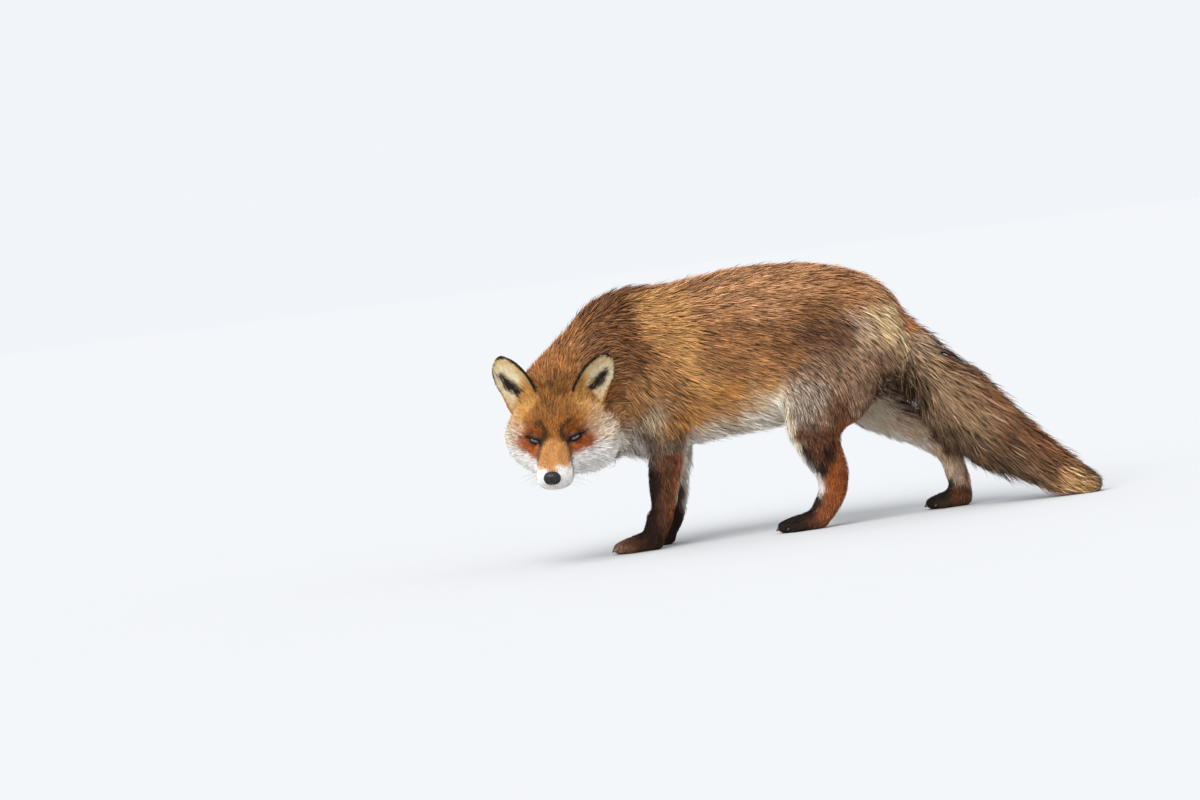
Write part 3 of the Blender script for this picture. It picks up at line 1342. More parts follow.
@dataclass
class Body:
    """The fox's solids as distances, and the one skin found inside them."""

    nodes: dict[str, bpy.types.Object]
    anatomy: Anatomy
    guides: GuideSet
    ears: dict[Region, EarFrame]
    margin: float = 0.014
    close: float = 0.0006
    band: int = 4  # how far from a solid its distance is wanted, in cubes
    coat_band: tuple[int, int] = (5, 13)  # the same outside and inside the whole outline
    sole: Span = (0.010, 0.024)  # between these heights the outline is eased
    bare_sole: Span = (0.001, 0.014)  # between these the coat takes on its depth
    sole_depth: float = 0.05  # the share of its depth that it has on the floor
    eye_reach: float = 0.024
    ball_bare: float = 0.0004  # how far the ball stands out of the skin
    lid_depth: float = 0.0016
    eye_round: Span = (0.002, 0.0025)
    ear_reach: float = 0.060
    ear_sunk: float = 0.0004
    ear_round: Span = (0.004, 0.003)
    jowl_reach: float = 0.120
    jowl_round: float = 0.006
    most_moved: float = 0.0006
    step: int = 4
    mesh_size: float = 0.00272
    floor: float = field(init=False)
    voxels: Voxels = field(init=False)
    outline: Array = field(init=False)
    slope: Array = field(init=False)
    owner: Array = field(init=False)
    points: Array = field(init=False)
    quads: Array = field(init=False)
    normals: Array = field(init=False)

    def __post_init__(self) -> None:
        """Works out the outline's distances and then the skin."""
        low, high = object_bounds()
        self.floor = low.z
        block = self.voxels = Voxels(np.array(low) - self.margin, np.array(high) + self.margin)
        closed, faces = block.surface(self._union())
        firm = block.distance(closed, faces, *self.coat_band) + self.close
        soft = block.softened(firm, 3)
        rise = block.low[2] + block.size * np.arange(block.shape[2]) - self.floor
        self.outline = soft + (firm - soft) * fall(*self.sole, rise).astype(np.float32)
        inner = self.outline + self._coat_depth()
        self._raise_eyes(inner)
        self._add_ears(inner)
        self.slope = np.stack(np.gradient(self.outline, block.size), axis=-1).astype(np.float32)
        self._find_skin(inner)

    def _union(self) -> Array:
        """Returns the distance to all solids but the ears, grown to close the cuts between them.

        The jowls are trimmed, and a bowl is hollowed out in front of each ear.
        """
        union = np.full(self.voxels.shape, 1.0, np.float32)
        self.owner = np.zeros(self.voxels.shape, np.uint8)
        for region in Region:
            for node in () if region in self.ears else region.value:
                one = self.voxels.distance(*self._mesh(self.nodes[node]), self.band, self.band)
                self.owner[one < union] = region.number
                union = np.minimum(union, one)
        for ear in self.ears.values():
            near = self.voxels.near(ear.axes(self.anatomy)[1], self.ear_reach)
            bowl = ear.to_bowl(self.anatomy, self.voxels.places(near))
            union[near] = np.maximum(union[near], -bowl)
        near = self.voxels.near(self.anatomy.eyes, self.jowl_reach)
        cut = self.anatomy.beyond_jowls(self.voxels.places(near)).astype(np.float32)
        union[near] = -merged(-union[near], -cut, self.jowl_round)
        return union - self.close

    def _raise_eyes(self, inner: Array) -> None:
        """Draws the skin up to each eyeball and the outline over it, so that the lids bulge.

        Args:
            inner: the skin's distances, which are changed.
        """
        for ball in self.anatomy.balls.values():
            near = self.voxels.near(ball, self.eye_reach)
            away = np.linalg.norm(self.voxels.places(near) - ball, axis=-1)
            out = away - self.anatomy.ball_radius
            inner[near] = merged(inner[near], out + self.ball_bare, self.eye_round[0])
            self.outline[near] = merged(self.outline[near], out - self.lid_depth, self.eye_round[1])

    def _add_ears(self, inner: Array) -> None:
        """Joins each ear's leaf to the skin and to the outline.

        Args:
            inner: the skin's distances, which are changed.
        """
        for region, ear in self.ears.items():
            leaf = self.voxels.distance(*ear.shell(self.anatomy), self.band, self.band)
            self.owner[leaf < inner] = region.number
            inner[:] = merged(inner, leaf + self.ear_sunk, self.ear_round[0])
            self.outline = merged(self.outline, leaf, self.ear_round[1])

    @staticmethod
    def _mesh(obj: bpy.types.Object) -> tuple[Array, Array]:
        """Returns a solid as a closed mesh, with each place only once.

        Args:
            obj: the solid.

        Returns:
            Its points and triangles.
        """
        mesh = obj.data
        points = np.empty(len(mesh.vertices) * 3, np.float32)
        mesh.vertices.foreach_get("co", points)
        mesh.calc_loop_triangles()
        triangles = np.empty(len(mesh.loop_triangles) * 3, np.int32)
        mesh.loop_triangles.foreach_get("vertices", triangles)
        keys = np.round(points.reshape(-1, 3) / 1e-6).astype(np.int64)
        _, first, same = np.unique(keys, axis=0, return_index=True, return_inverse=True)
        return points.reshape(-1, 3)[first], same.reshape(-1)[triangles].reshape(-1, 3)

    def _coat_depth(self) -> Array:
        """Returns the coat's depth in every cube, worked out on a coarser block."""
        block = self.voxels
        rough = Voxels(block.low, block.high + block.size * self.step, block.size * self.step)
        places = rough.places()
        depth = self.guides.at(places.reshape(-1, 3))[:, DEPTH].astype(np.float32)
        depth = depth.reshape(rough.shape)
        grown = ease(*self.bare_sole, places[..., 2] - self.floor)
        depth *= self.sole_depth + (1 - self.sole_depth) * grown
        return block.carry(depth, rough)

    def _find_skin(self, inner: Array) -> None:
        """Finds the surface where a distance is 0, on a block of its own, and draws it closer.

        Args:
            inner: the skin's distances.
        """
        mesh_block = Voxels(self.voxels.low, self.voxels.high, self.mesh_size)
        points, quads = mesh_block.surface(mesh_block.carry(inner, self.voxels))
        a, b, c, d = (points[quads[:, k]] for k in range(4))
        volume = (a * np.cross(b, c)).sum() + (a * np.cross(c, d)).sum()
        self.quads = quads if volume > 0 else quads[:, ::-1]
        self.normals = unit(self.voxels.sample(self.slope, points))
        miss = np.clip(self.voxels.sample(inner, points), -self.most_moved, self.most_moved)
        self.points = points - self.normals * miss[:, None]

    def region_at(self, points: Array) -> Array:
        """Returns the region that each point belongs to.

        Args:
            points: the places.

        Returns:
            One region's number for each.
        """
        cell = np.round((points - self.voxels.low) / self.voxels.size).astype(int)
        cell = np.clip(cell, 0, np.array(self.voxels.shape) - 1)
        return self.owner[tuple(cell.T)]


# --- Markings -------------------------------------------------------------------------------
def to_line(points: Array, line: Line, facing: Array | None = None, free: float = 0.009) -> Array:
    """Returns each point's distance to the nearest stretch of a line of straight stretches.

    Args:
        points: the places.
        line: the ends of the stretches.
        facing: which way the skin faces at each place.
        free: how far along it a gap doesn't count.

    Returns:
        One distance for each place.
    """
    best = np.full(len(points), np.inf)
    for a, b in zip(np.array(line[:-1]), np.array(line[1:])):
        share = np.clip((points - a) @ (b - a) / ((b - a) @ (b - a)), 0, 1)
        gap = points - a - share[:, None] * (b - a)
        if facing is not None:
            gap -= np.clip((gap * facing).sum(1), -free, free)[:, None] * facing
        best = np.minimum(best, np.linalg.norm(gap, axis=1))
    return best


@dataclass
class Markings:
    """The coat's traits at any place on the skin: the guides, then the fine marks of the head.

    The lines and places are in the head's frame, on its left side, except the hollow's, which are
    in the ear's. A span holds the distances between which a mark fades out.
    """

    anatomy: Anatomy
    guides: GuideSet
    ears: dict[Region, EarFrame]
    noise: Noise = field(default_factory=lambda: Noise(11))
    warp: Span = (0.012, 0.0035)  # spacing and size of the shifts that roughen the tones' borders
    ripple: Span = (0.004, 0.0012)  # the same for the marks' edges
    tear: Line = (
        (0.0130, 0.0160, 0.0000),
        (0.0220, 0.0215, -0.0060),
        (0.0330, 0.0240, -0.0120),
        (0.0430, 0.0262, -0.0210),
        (0.0540, 0.0258, -0.0290),
    )
    tear_span: Span = (0.0018, 0.0064)
    tear_fades: Span = (0.02, 0.05)
    brow: Line = (
        (0.0130, 0.0130, 0.0060),
        (0.0085, 0.0122, 0.0150),
        (0.0020, 0.0165, 0.0225),
        (-0.0020, 0.0235, 0.0255),
    )
    brow_span: Span = (0.0016, 0.0082)
    spot: Place = (0.0060, 0.0190, 0.0165)
    spot_span: Span = (0.0010, 0.0032)
    lip: Line = (
        (0.0790, 0.0, -0.0330),
        (0.0700, 0.0120, -0.0375),
        (0.0560, 0.0225, -0.0375),
        (0.0300, 0.0290, -0.0400),
        (0.0150, 0.0350, -0.0440),
    )
    lip_span: Span = (0.0006, 0.0026)
    crown_half: Span = (0.004, 0.022)
    crown_height: Span = (0.022, 0.030)
    crown_back: Span = (-0.075, -0.06)
    turned: Span = (0.0110, 0.0170)  # how far from a ball its fur turns away from it
    shortened: Span = (0.0110, 0.0190)
    slit: Span = (0.0172, 0.0044)
    slit_edge: Span = (-0.0002, 0.0010)
    slit_depth: Span = (-0.006, 0.022)  # how far behind and round the ball's middle it reaches
    lid_shade: Span = (0.0062, 0.0026)
    hollow: Line = (
        (0.0100, 0.0420, 0.0),
        (0.0070, 0.0310, 0.0),
        (0.0040, 0.0200, 0.0),
        (-0.0030, 0.0070, 0.0),
    )
    hollow_span: Span = (-0.0004, 0.0044)
    hollow_half: Span = (0.0010, 0.0050)  # at its ends, and what is added at its middle
    hollow_middle: Span = (0.024, 0.015)
    shown_above: float = 0.0022  # how far above its root an ear's hair shows
    cup_faces: Span = (-0.05, 0.30)
    rim: Span = (0.0034, 0.0052)
    golden: Span = (0.000, 0.024)
    warm: Span = (0.006, 0.020)
    low: Span = (-0.006, 0.006)
    front_ahead: tuple[Span, Span] = ((-0.004, 0.004), (0.012, 0.026))
    front_half: Span = (0.020, 0.032)
    front_height: Span = (-0.018, -0.006)

    @staticmethod
    def tint(traits: Array, share: Array, tone: Tone) -> None:
        """Draws the roots and tips towards a tone by a share from 0 to 1."""
        traits[:, ROOT] = blend(traits[:, ROOT], np.array(tone.root), share)
        traits[:, TIP] = blend(traits[:, TIP], np.array(tone.tip), share)

    def at(self, points: Array, normals: Array, regions: Array) -> Array:
        """Returns the traits at points on the skin.

        Args:
            points: the places.
            normals: which way the skin faces there.
            regions: the number of each place's region.

        Returns:
            One row of traits for each place.
        """
        scale, size = self.warp
        warp = np.stack([self.noise.at(points + k, scale) for k in (0.0, 1.7, 3.1)], axis=1)
        traits = self.guides.at(points + size * warp)
        traits[:, LIE] = self.guides.at(points)[:, LIE]
        self._face(traits, points, normals, regions)
        for region, frame in self.ears.items():
            rows = np.flatnonzero(regions == region.number)
            traits[rows] = self._ear(frame, traits[rows], points[rows], normals[rows])
        traits[:, LIE] = unit(square_to(normals, traits[:, LIE]))
        return traits

    def _face(self, traits: Array, points: Array, normals: Array, regions: Array) -> None:
        """Adds the marks round the eyes, the tear line, the lips and the crown's dark flecks.

        A mark is set by where a hair shows, half its length along the lie from its root.

        Args:
            traits: the traits, which are changed.
            points: their places.
            normals: which way the skin faces there.
            regions: the number of each place's region.
        """
        here = (regions == Region.HEAD.number).astype(float)
        away = self._part_round_eyes(traits, points, here)
        traits[:, LENGTH] *= 1 - 0.55 * fall(*self.shortened, away) * here
        lie = unit(square_to(normals, traits[:, LIE])) * traits[:, LENGTH, None]
        head, facing = self.anatomy.to_head(points + 0.5 * lie), normals @ self.anatomy.turn
        flip = np.where(head[:, 1] < 0, -1.0, 1.0)
        head[:, 1] *= flip
        facing[:, 1] *= flip
        wander = self.ripple[1] * self.noise.at(points, self.ripple[0])
        tear = to_line(head, self.tear, facing) + wander
        fade = 1 - 0.25 * ease(*self.tear_fades, head[:, 0])
        self.tint(traits, 0.94 * fall(*self.tear_span, tear) * fade * here, Tone.TEAR)
        brow = to_line(head, self.brow, facing) + 2.0 * wander
        self.tint(traits, 0.94 * fall(*self.brow_span, brow) * here, Tone.BROW)
        spot = np.linalg.norm(head - self.spot, axis=1)
        self.tint(traits, 0.7 * fall(*self.spot_span, spot) * here, Tone.BUFF)
        lip = fall(*self.lip_span, to_line(head, self.lip))
        self.tint(traits, 0.75 * lip * here, Tone.UMBER)
        centre = fall(*self.crown_half, head[:, 1])
        high = ease(*self.crown_height, head[:, 2]) * ease(*self.crown_back, head[:, 0])
        fleck = ease(0.10, 0.40, self.noise.at(points, 0.006))
        self.tint(traits, 0.8 * centre * high * fleck * here, Tone.BROW)
        for frame in self.ears.values():
            self._ear_front(frame, traits, points, here)
        for share in (0.9, 0.45, 0.0):
            self._slits(traits, points + share * lie, here)

    def _part_round_eyes(self, traits: Array, points: Array, here: Array) -> Array:
        """Turns the lie away from each eye, and returns each place's distance to the nearer one.

        Args:
            traits: the traits, which are changed.
            points: their places.
            here: 1 on the head and 0 elsewhere.

        Returns:
            Distances to the middle of the nearer eyeball.
        """
        away = np.full(len(points), np.inf)
        for sign, ball in self.anatomy.balls.items():
            gaze = self.anatomy.slit_axes(sign)[0]
            gap = points - ball
            near = np.linalg.norm(gap, axis=1)
            away = np.minimum(away, near)
            part = 1.4 * fall(*self.turned, near) * here
            traits[:, LIE] = unit(traits[:, LIE] + part[:, None] * unit(square_to(gaze, gap)))
        return away

    def _slits(self, traits: Array, shown: Array, here: Array) -> None:
        """Blackens a lens round each eye's opening, and browns the fur above it.

        Args:
            traits: the traits, which are changed.
            shown: where their hairs show.
            here: 1 on the head and 0 elsewhere.
        """
        for sign, ball in self.anatomy.balls.items():
            gaze, outer, up = self.anatomy.slit_axes(sign)
            gap = shown - ball
            along, across = gap @ outer / self.slit[0], gap @ up
            lens = 1 - along**2
            front = gap @ gaze > self.slit_depth[0]
            front = here * front * (np.linalg.norm(gap, axis=1) < self.slit_depth[1])
            over = bell(across, *self.lid_shade) * np.clip(lens, 0, 1)
            self.tint(traits, 0.6 * over * front, Tone.TEAR)
            edge = np.abs(across) - self.slit[1] * lens
            self.tint(traits, fall(*self.slit_edge, edge) * front, Tone.BLACK)

    def _ear_front(self, frame: EarFrame, traits: Array, points: Array, here: Array) -> None:
        """Carries the cup's golden tone down on to the head in front of the ear.

        Args:
            frame: the ear.
            traits: the traits, which are changed.
            points: their places.
            here: 1 on the head and 0 elsewhere.
        """
        ahead, aside, up = (frame.to_ear(self.anatomy, points) * (1, frame.side, 1)).T
        front = ease(*self.front_ahead[0], ahead) * fall(*self.front_ahead[1], ahead)
        front *= fall(*self.front_half, np.abs(aside)) * ease(*self.front_height, up) * here
        self.tint(traits, 0.85 * front, Tone.SAND)
        traits[:, LENGTH] *= 1 - 0.35 * front
        rise = frame.axes(self.anatomy)[0][:, 2]
        traits[:, LIE] = unit(blend(traits[:, LIE], rise, 0.8 * front))

    def _ear(self, frame: EarFrame, traits: Array, points: Array, normals: Array) -> Array:
        """Returns the traits on an ear: cream cup with a dark hollow, black back and rim.

        Each mark fades between two distances to the leaf's edges, to its tip or to the hollow.

        Args:
            frame: the ear.
            traits: the traits so far.
            points: their places.
            normals: which way the skin faces there.

        Returns:
            The new traits.
        """
        axes, _ = frame.axes(self.anatomy)
        _, aside, up = (frame.to_ear(self.anatomy, points) * (1, frame.side, 1)).T
        wander = self.noise.at(points, self.ripple[0])
        seen = up + self.shown_above
        to_tip = 0.85 * (frame.length - seen)
        towards = frame.half(seen, np.array(False)) + aside
        beyond = frame.half(seen, np.array(True)) - aside + 0.0010
        to_edge = np.minimum(np.minimum(towards, beyond), to_tip) + 0.0008 * wander
        cup = ease(*self.cup_faces, normals @ axes[:, 0]) * ease(*self.rim, to_edge)
        flat = np.stack([aside, up, np.zeros(len(points))], axis=1)
        wide = self.hollow_half[0] + self.hollow_half[1] * bell(up, *self.hollow_middle)
        hollow = fall(*self.hollow_span, to_line(flat, self.hollow) - wide + 0.0030 * wander)
        golden = fall(*self.golden, up + 0.75 * aside + 0.004 * wander)
        warm = 0.8 * fall(*self.warm, np.minimum(to_tip, towards))
        low = fall(*self.low, up - 0.026 * ease(-0.004, 0.006, aside))
        traits[:, FROST], traits[:, SOOT], traits[:, LOOSE] = 0.03, 0.0, 0.10 * cup
        for share, tone in (
            (np.ones(len(points)), Tone.EAR_BACK),
            (low, Tone.SAND),
            (cup, Tone.EAR_CREAM),
            (cup * warm, Tone.EAR_GOLD),
            (cup * golden, Tone.SAND),
            (cup * hollow, Tone.EAR_BACK),
        ):
            self.tint(traits, share, tone)
        traits[:, LIE] = axes[:, 2] + 0.25 * (cup * frame.side)[:, None] * axes[:, 1]
        traits[:, DEPTH] = 0.0008
        inside = cup * ease(0.004, 0.010, to_edge)
        traits[:, LENGTH] = 0.0036 + 0.0054 * inside + 0.006 * (low * (1 - cup) + cup * golden)
        return traits


@dataclass
class Skin:
    """The one skin under the coat."""

    body: Body
    markings: Markings
    shown: float = 0.42  # how far its colour is from the roots' to the tips'
    traits: Array = field(init=False)

    def __post_init__(self) -> None:
        """Reads the traits at every vertex."""
        regions = self.body.region_at(self.body.points)
        self.traits = self.markings.at(self.body.points, self.body.normals, regions)

    def build(self, nodes: list[str]) -> bpy.types.Object:
        """Makes the skin's mesh, painted with its markings, in place of the solids of flesh.

        Args:
            nodes: the names of those solids.

        Returns:
            The skin.
        """
        quads = self.body.quads
        sizes = np.full(len(quads), 4)
        skin = new_object("skin", self.body.points, quads.ravel(), sizes, SkinFinish().material())
        paint(skin, "markings", blend(self.traits[:, ROOT], self.traits[:, TIP], self.shown))
        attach(skin, "root")
        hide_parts(*nodes)
        return skin


# --- The coat -------------------------------------------------------------------------------
@dataclass(frozen=True)
class Fleece:
    """One piece of the coat: where it grows, how many tufts it has and how wide they are."""

    name: str
    regions: tuple[Region, ...]
    tufts: int
    width: float = 1.0
    slot: str = "coat"
    in_head: bool = False
    reach: Span = (-FAR, FAR)
    stray: float = 0.03


FLEECES = (
    Fleece("coat_face", (Region.HEAD,), 36000, 0.92, in_head=True, reach=(-0.012, FAR)),
    Fleece("coat_cheeks", (Region.HEAD,), 33000, 0.92, in_head=True, reach=(-FAR, -0.012)),
    Fleece("coat_ears", (Region.EAR_LEFT, Region.EAR_RIGHT), 22000, 0.8, slot="ear"),
    Fleece("coat_neck", (Region.NECK,), 35000),
    Fleece("coat_shoulders", (Region.TRUNK,), 34000, reach=(-FAR, 0.125)),
    Fleece("coat_flanks", (Region.TRUNK,), 34000, reach=(0.125, 0.255)),
    Fleece("coat_haunches", (Region.TRUNK,), 34000, reach=(0.255, FAR)),
    Fleece("coat_forelegs", (Region.FORELEG_LEFT, Region.FORELEG_RIGHT), 14000, slot="stocking"),
    Fleece("coat_hind_legs", (Region.HINDLEG_LEFT, Region.HINDLEG_RIGHT), 17000, slot="shank"),
    Fleece("coat_tail", (Region.TAIL,), 26000, reach=(-FAR, 0.500)),
    Fleece("coat_brush", (Region.TAIL,), 13000, reach=(0.500, FAR)),
)


def unwrap(points: Array) -> Array:
    """Returns each point's place on a flat unwrap of all the points.

    Args:
        points: places on the skin.

    Returns:
        Each one's turn round their long axis and its distance along it, both from 0.02 to 0.98.
    """
    middle = points.mean(axis=0)
    axis = np.linalg.svd(points[:: max(1, len(points) // 2000)] - middle, full_matrices=False)[2][0]
    axis = axis * np.sign(axis[np.argmax(np.abs(axis))])
    side = unit(np.cross(axis, (0.3, 0.9, 0.2)))
    over = np.cross(axis, side)
    away = points - middle
    turn = np.arctan2(away @ side, away @ over) / (2 * math.pi) + 0.5
    along = away @ axis
    along = (along - along.min()) / np.ptp(along)
    return 0.02 + 0.96 * np.stack([turn, along], axis=1)


@dataclass
class Tufts:
    """Many tufts as one mesh: each is a thin lock of three faces, wide at first and then pointed.

    Centres and the directions of the widths come by step and tuft, and the rest by tuft.
    """

    name: str
    centre: Array
    side: Array
    width: Array
    colours: Array
    slot: str
    floor: float
    clear: float = 0.0002  # how far above the floor the lowest points stay

    def build(self) -> bpy.types.Object:
        """Makes the piece, painted from root to tip, with each tuft a patch on the unwrap."""
        count = len(self.width)
        rows = []
        for number, share in enumerate(TUFT_WIDTHS):
            half = 0.5 * share * self.width[:, None] * self.side[number]
            rows += [self.centre[number] - half, self.centre[number] + half]
        points = np.stack([*rows, self.centre[-1]], axis=1)
        points[..., 2] = np.maximum(points[..., 2], self.floor + self.clear)
        pattern = np.array((0, 1, 3, 2, 2, 3, 5, 4, 4, 5, 6))
        loops = (np.arange(count)[:, None] * len(TUFT_TINTS) + pattern).ravel()
        finish = CoatFinish(f"{self.name}_hair").material()
        piece = new_object(self.name, points.reshape(-1, 3), loops, np.tile((4, 4, 3), count), finish)
        paint(piece, "fur", self.colours.reshape(-1, 3))
        beside = np.array((-1, 1, -1, 1, -1, 1, 0))[pattern] * 0.5
        along = np.repeat(TUFT_STEPS, 2)[:7][pattern]
        spots = unwrap(self.centre[0])[:, None, :] + PATCH * np.stack([beside, along], axis=1)
        layer = piece.data.uv_layers.new(name="OFBake")
        layer.data.foreach_set("uv", spots.astype(np.float32).ravel())
        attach(piece, "root")
        return piece


def tuft_colours(traits: Array, streak: Array, rng: np.random.Generator) -> Array:
    """Returns each tuft's colour at each of its seven vertices.

    Some tufts have a paler tip and some a sooty one, by their traits' shares. Lightness varies
    from tuft to tuft as e to the power of chance and of the streak, and half as much at roots.

    Args:
        traits: the traits at the roots.
        streak: a noise that neighbours share.
        rng: the source of chance.

    Returns:
        Colours by tuft and vertex.
    """
    count = len(traits)
    root, tip = traits[:, ROOT], traits[:, TIP]
    chance = rng.random(count)
    frosted = (chance < traits[:, FROST])[:, None]
    sooty = (chance > 1 - traits[:, SOOT])[:, None]
    pale = 1.25 * tip + 0.4 * traits[:, FROST, None] * np.array(FROST_TINT)
    tip = np.where(frosted, pale, np.where(sooty, SOOTY_SHARE * tip, tip))
    light = np.exp(LIGHTNESS[0] * rng.standard_normal(count) + LIGHTNESS[1] * streak)[:, None]
    tip, root = np.clip(tip * light, 0, BRIGHTEST), np.clip(root * light**0.5, 0, BRIGHTEST)
    return np.stack([blend(root, tip, share) for share in TUFT_TINTS], axis=1)


@dataclass
class Coat:
    """Tufts rooted in the skin: thin flat locks that follow the lie out to the outline.

    A tuft goes out from its root in steps along the lie. After each step it is drawn to the
    depth under the outline that is its own there: all of it at the root, little or none at the
    tip. Neighbours lean together into locks, and some stray further out.
    """

    body: Body
    skin: Skin
    anatomy: Anatomy
    noise: Noise = field(default_factory=lambda: Noise(23))
    eye_clear: float = 0.0106
    floor_clear: float = 0.0025
    nose_clear: Place = (0.0090, 0.0118, 0.0098)
    widths: Span = (0.00036, 0.028)  # a tuft's least width, and how it grows with its length
    streaks: float = 0.011  # the spacing of light and dark streaks
    locks: float = 0.008  # the spacing of locks
    lock_lean: float = 0.10
    own_lean: float = 0.10
    lift: Span = (0.76, 0.16)  # the share of the coat's depth at a tip, and how far it varies
    lifts: Span = (0.35, 1.02)  # its least and most
    stray_lifts: Span = (1.1, 1.3)
    lengths: Span = (0.75, 1.15)
    width_shares: Span = (0.7, 1.3)
    sunk: float = 0.0004  # how far under the skin a root is
    roll: float = 24.0  # how far a tuft turns about its own length, in degrees
    firm: float = 0.3  # the outline's least slope by which a tuft is drawn to it
    most_pull: float = 0.8  # the most that it is drawn, as a share of the step

    def __post_init__(self) -> None:
        """Gathers each face's middle, area and region."""
        ends = self.body.points[self.body.quads]
        self.middles = ends.mean(axis=1)
        twice = np.cross(ends[:, 2] - ends[:, 0], ends[:, 3] - ends[:, 1])
        self.areas = 0.5 * np.linalg.norm(twice, axis=1)
        self.regions = self.body.region_at(self.middles)
        self.traits = self.skin.traits[self.body.quads].mean(axis=1)

    def _faces(self, fleece: Fleece) -> Array:
        """Returns the skin's faces that a piece grows on.

        Args:
            fleece: the piece.

        Returns:
            Their numbers.
        """
        frame = self.anatomy.to_head if fleece.in_head else self.anatomy.to_body
        along = frame(self.middles)[:, 0]
        keep = np.isin(self.regions, [region.number for region in fleece.regions])
        keep &= (along >= fleece.reach[0]) & (along < fleece.reach[1])
        keep &= self.middles[:, 2] > self.floor_clear
        for ball in self.anatomy.balls.values():
            keep &= np.linalg.norm(self.middles - ball, axis=1) > self.eye_clear
        nose = self.anatomy.to_head(self.middles) - self.anatomy.nose
        keep &= np.linalg.norm(nose / self.nose_clear, axis=1) > 1.0
        return np.flatnonzero(keep)

    def _roots(self, fleece: Fleece, rng: np.random.Generator) -> tuple[Array, Array, Array]:
        """Returns places on the skin, closer together where the hair is short.

        Args:
            fleece: the piece.
            rng: the source of chance.

        Returns:
            Places, normals and traits.
        """
        faces = self._faces(fleece)
        length = self.traits[faces, LENGTH]
        weight = self.areas[faces] / (length * self.width(length, fleece))
        pick = np.searchsorted(np.cumsum(weight) / weight.sum(), rng.random(fleece.tufts))
        faces = faces[np.minimum(pick, len(faces) - 1)]
        u, v = rng.random((2, fleece.tufts))
        shares = np.stack([(1 - u) * (1 - v), u * (1 - v), u * v, (1 - u) * v], axis=1)[..., None]
        quads = self.body.quads[faces]
        place = (self.body.points[quads] * shares).sum(axis=1)
        normal = (self.body.normals[quads] * shares).sum(axis=1)
        corner = quads[np.arange(fleece.tufts), rng.integers(0, 4, fleece.tufts)]
        return place, unit(normal), self.skin.traits[corner]

    def width(self, length: Array, fleece: Fleece) -> Array:
        """Returns a tuft's width: narrow for short hair and wider for long."""
        return fleece.width * (self.widths[0] + self.widths[1] * length)

    def _paths(
        self, start: Array, traits: Array, length: Array, rise: Array, lean: Array
    ) -> tuple[Array, Array, Array]:
        """Carries each tuft out from its root.

        Args:
            start: roots.
            traits: their traits.
            length: each tuft's length.
            rise: the share of the coat's depth that its tip rises through, and how far past it.
            lean: a sideways shift of its tip.

        Returns:
            The points, directions and normals at each step, one block to a step.
        """
        block, outline, slope = self.body.voxels, self.body.outline, self.body.slope
        depth = block.sample(outline, start)
        point, lie = start, traits[:, LIE]
        normal = unit(block.sample(slope, start))
        centres, ups = [point], [normal]
        for before, share in zip(TUFT_STEPS, TUFT_STEPS[1:]):
            span = share - before
            point = point + lie * (length * span)[:, None] + lean * span
            steep = block.sample(slope, point)
            firm = np.linalg.norm(steep, axis=1) > self.firm
            normal = np.where(firm[:, None], unit(steep), normal)
            target = depth + (rise[1] - depth * rise[0]) * (1 - (1 - share) ** 1.7)
            pull = np.where(firm, block.sample(outline, point) - target, 0.0)
            limit = self.most_pull * length * span
            point = point - normal * np.clip(pull, -limit, limit)[:, None]
            lie = unit(square_to(normal, lie))
            centres.append(point)
            ups.append(normal)
        joined = np.stack([centres[0], *centres, centres[-1]])
        return joined[1:-1], unit(joined[2:] - joined[:-2]), np.stack(ups)

    def _streaks(self, start: Array, lie: Array) -> Array:
        """Returns a noise drawn out threefold along the lie."""
        along = (start * lie).sum(axis=1)[:, None] * lie
        return self.noise.at(start - 0.66 * along, self.streaks)

    def grow(self, fleece: Fleece, seed: int) -> bpy.types.Object:
        """Makes one piece of the coat.

        Args:
            fleece: the piece's place and sizes.
            seed: its own seed.

        Returns:
            The piece's object.
        """
        rng = np.random.default_rng(seed)
        start, normal, traits = self._roots(fleece, rng)
        count = fleece.tufts
        streak = self._streaks(start, traits[:, LIE])
        length = traits[:, LENGTH] * rng.uniform(*self.lengths, count)
        mean, vary = self.lift
        lift = np.clip(mean + vary * streak + vary * rng.standard_normal(count), *self.lifts)
        stray = rng.random(count) < fleece.stray
        lift = np.where(stray, rng.uniform(*self.stray_lifts, count), lift)
        past = traits[:, LOOSE] * length * rng.random(count) ** 1.5
        jitter = self.own_lean * rng.standard_normal((count, 3))
        lock = np.clip(self.noise.slope(start, self.locks), -2, 2)
        lean = (self.lock_lean * length)[:, None] * lock + length[:, None] * jitter
        lean = square_to(normal, lean)
        start = start - self.sunk * normal
        centre, way, up = self._paths(start, traits, length, np.stack([lift, past]), lean)
        roll = rng.normal(0, math.radians(self.roll), count)[None, :, None]
        flat = unit(np.cross(way, up))
        side = np.cos(roll) * flat + np.sin(roll) * np.cross(flat, way)
        width = self.width(traits[:, LENGTH], fleece) * rng.uniform(*self.width_shares, count)
        colours = tuft_colours(traits, streak, rng)
        return Tufts(fleece.name, centre, side, width, colours, fleece.slot, self.body.floor).build()


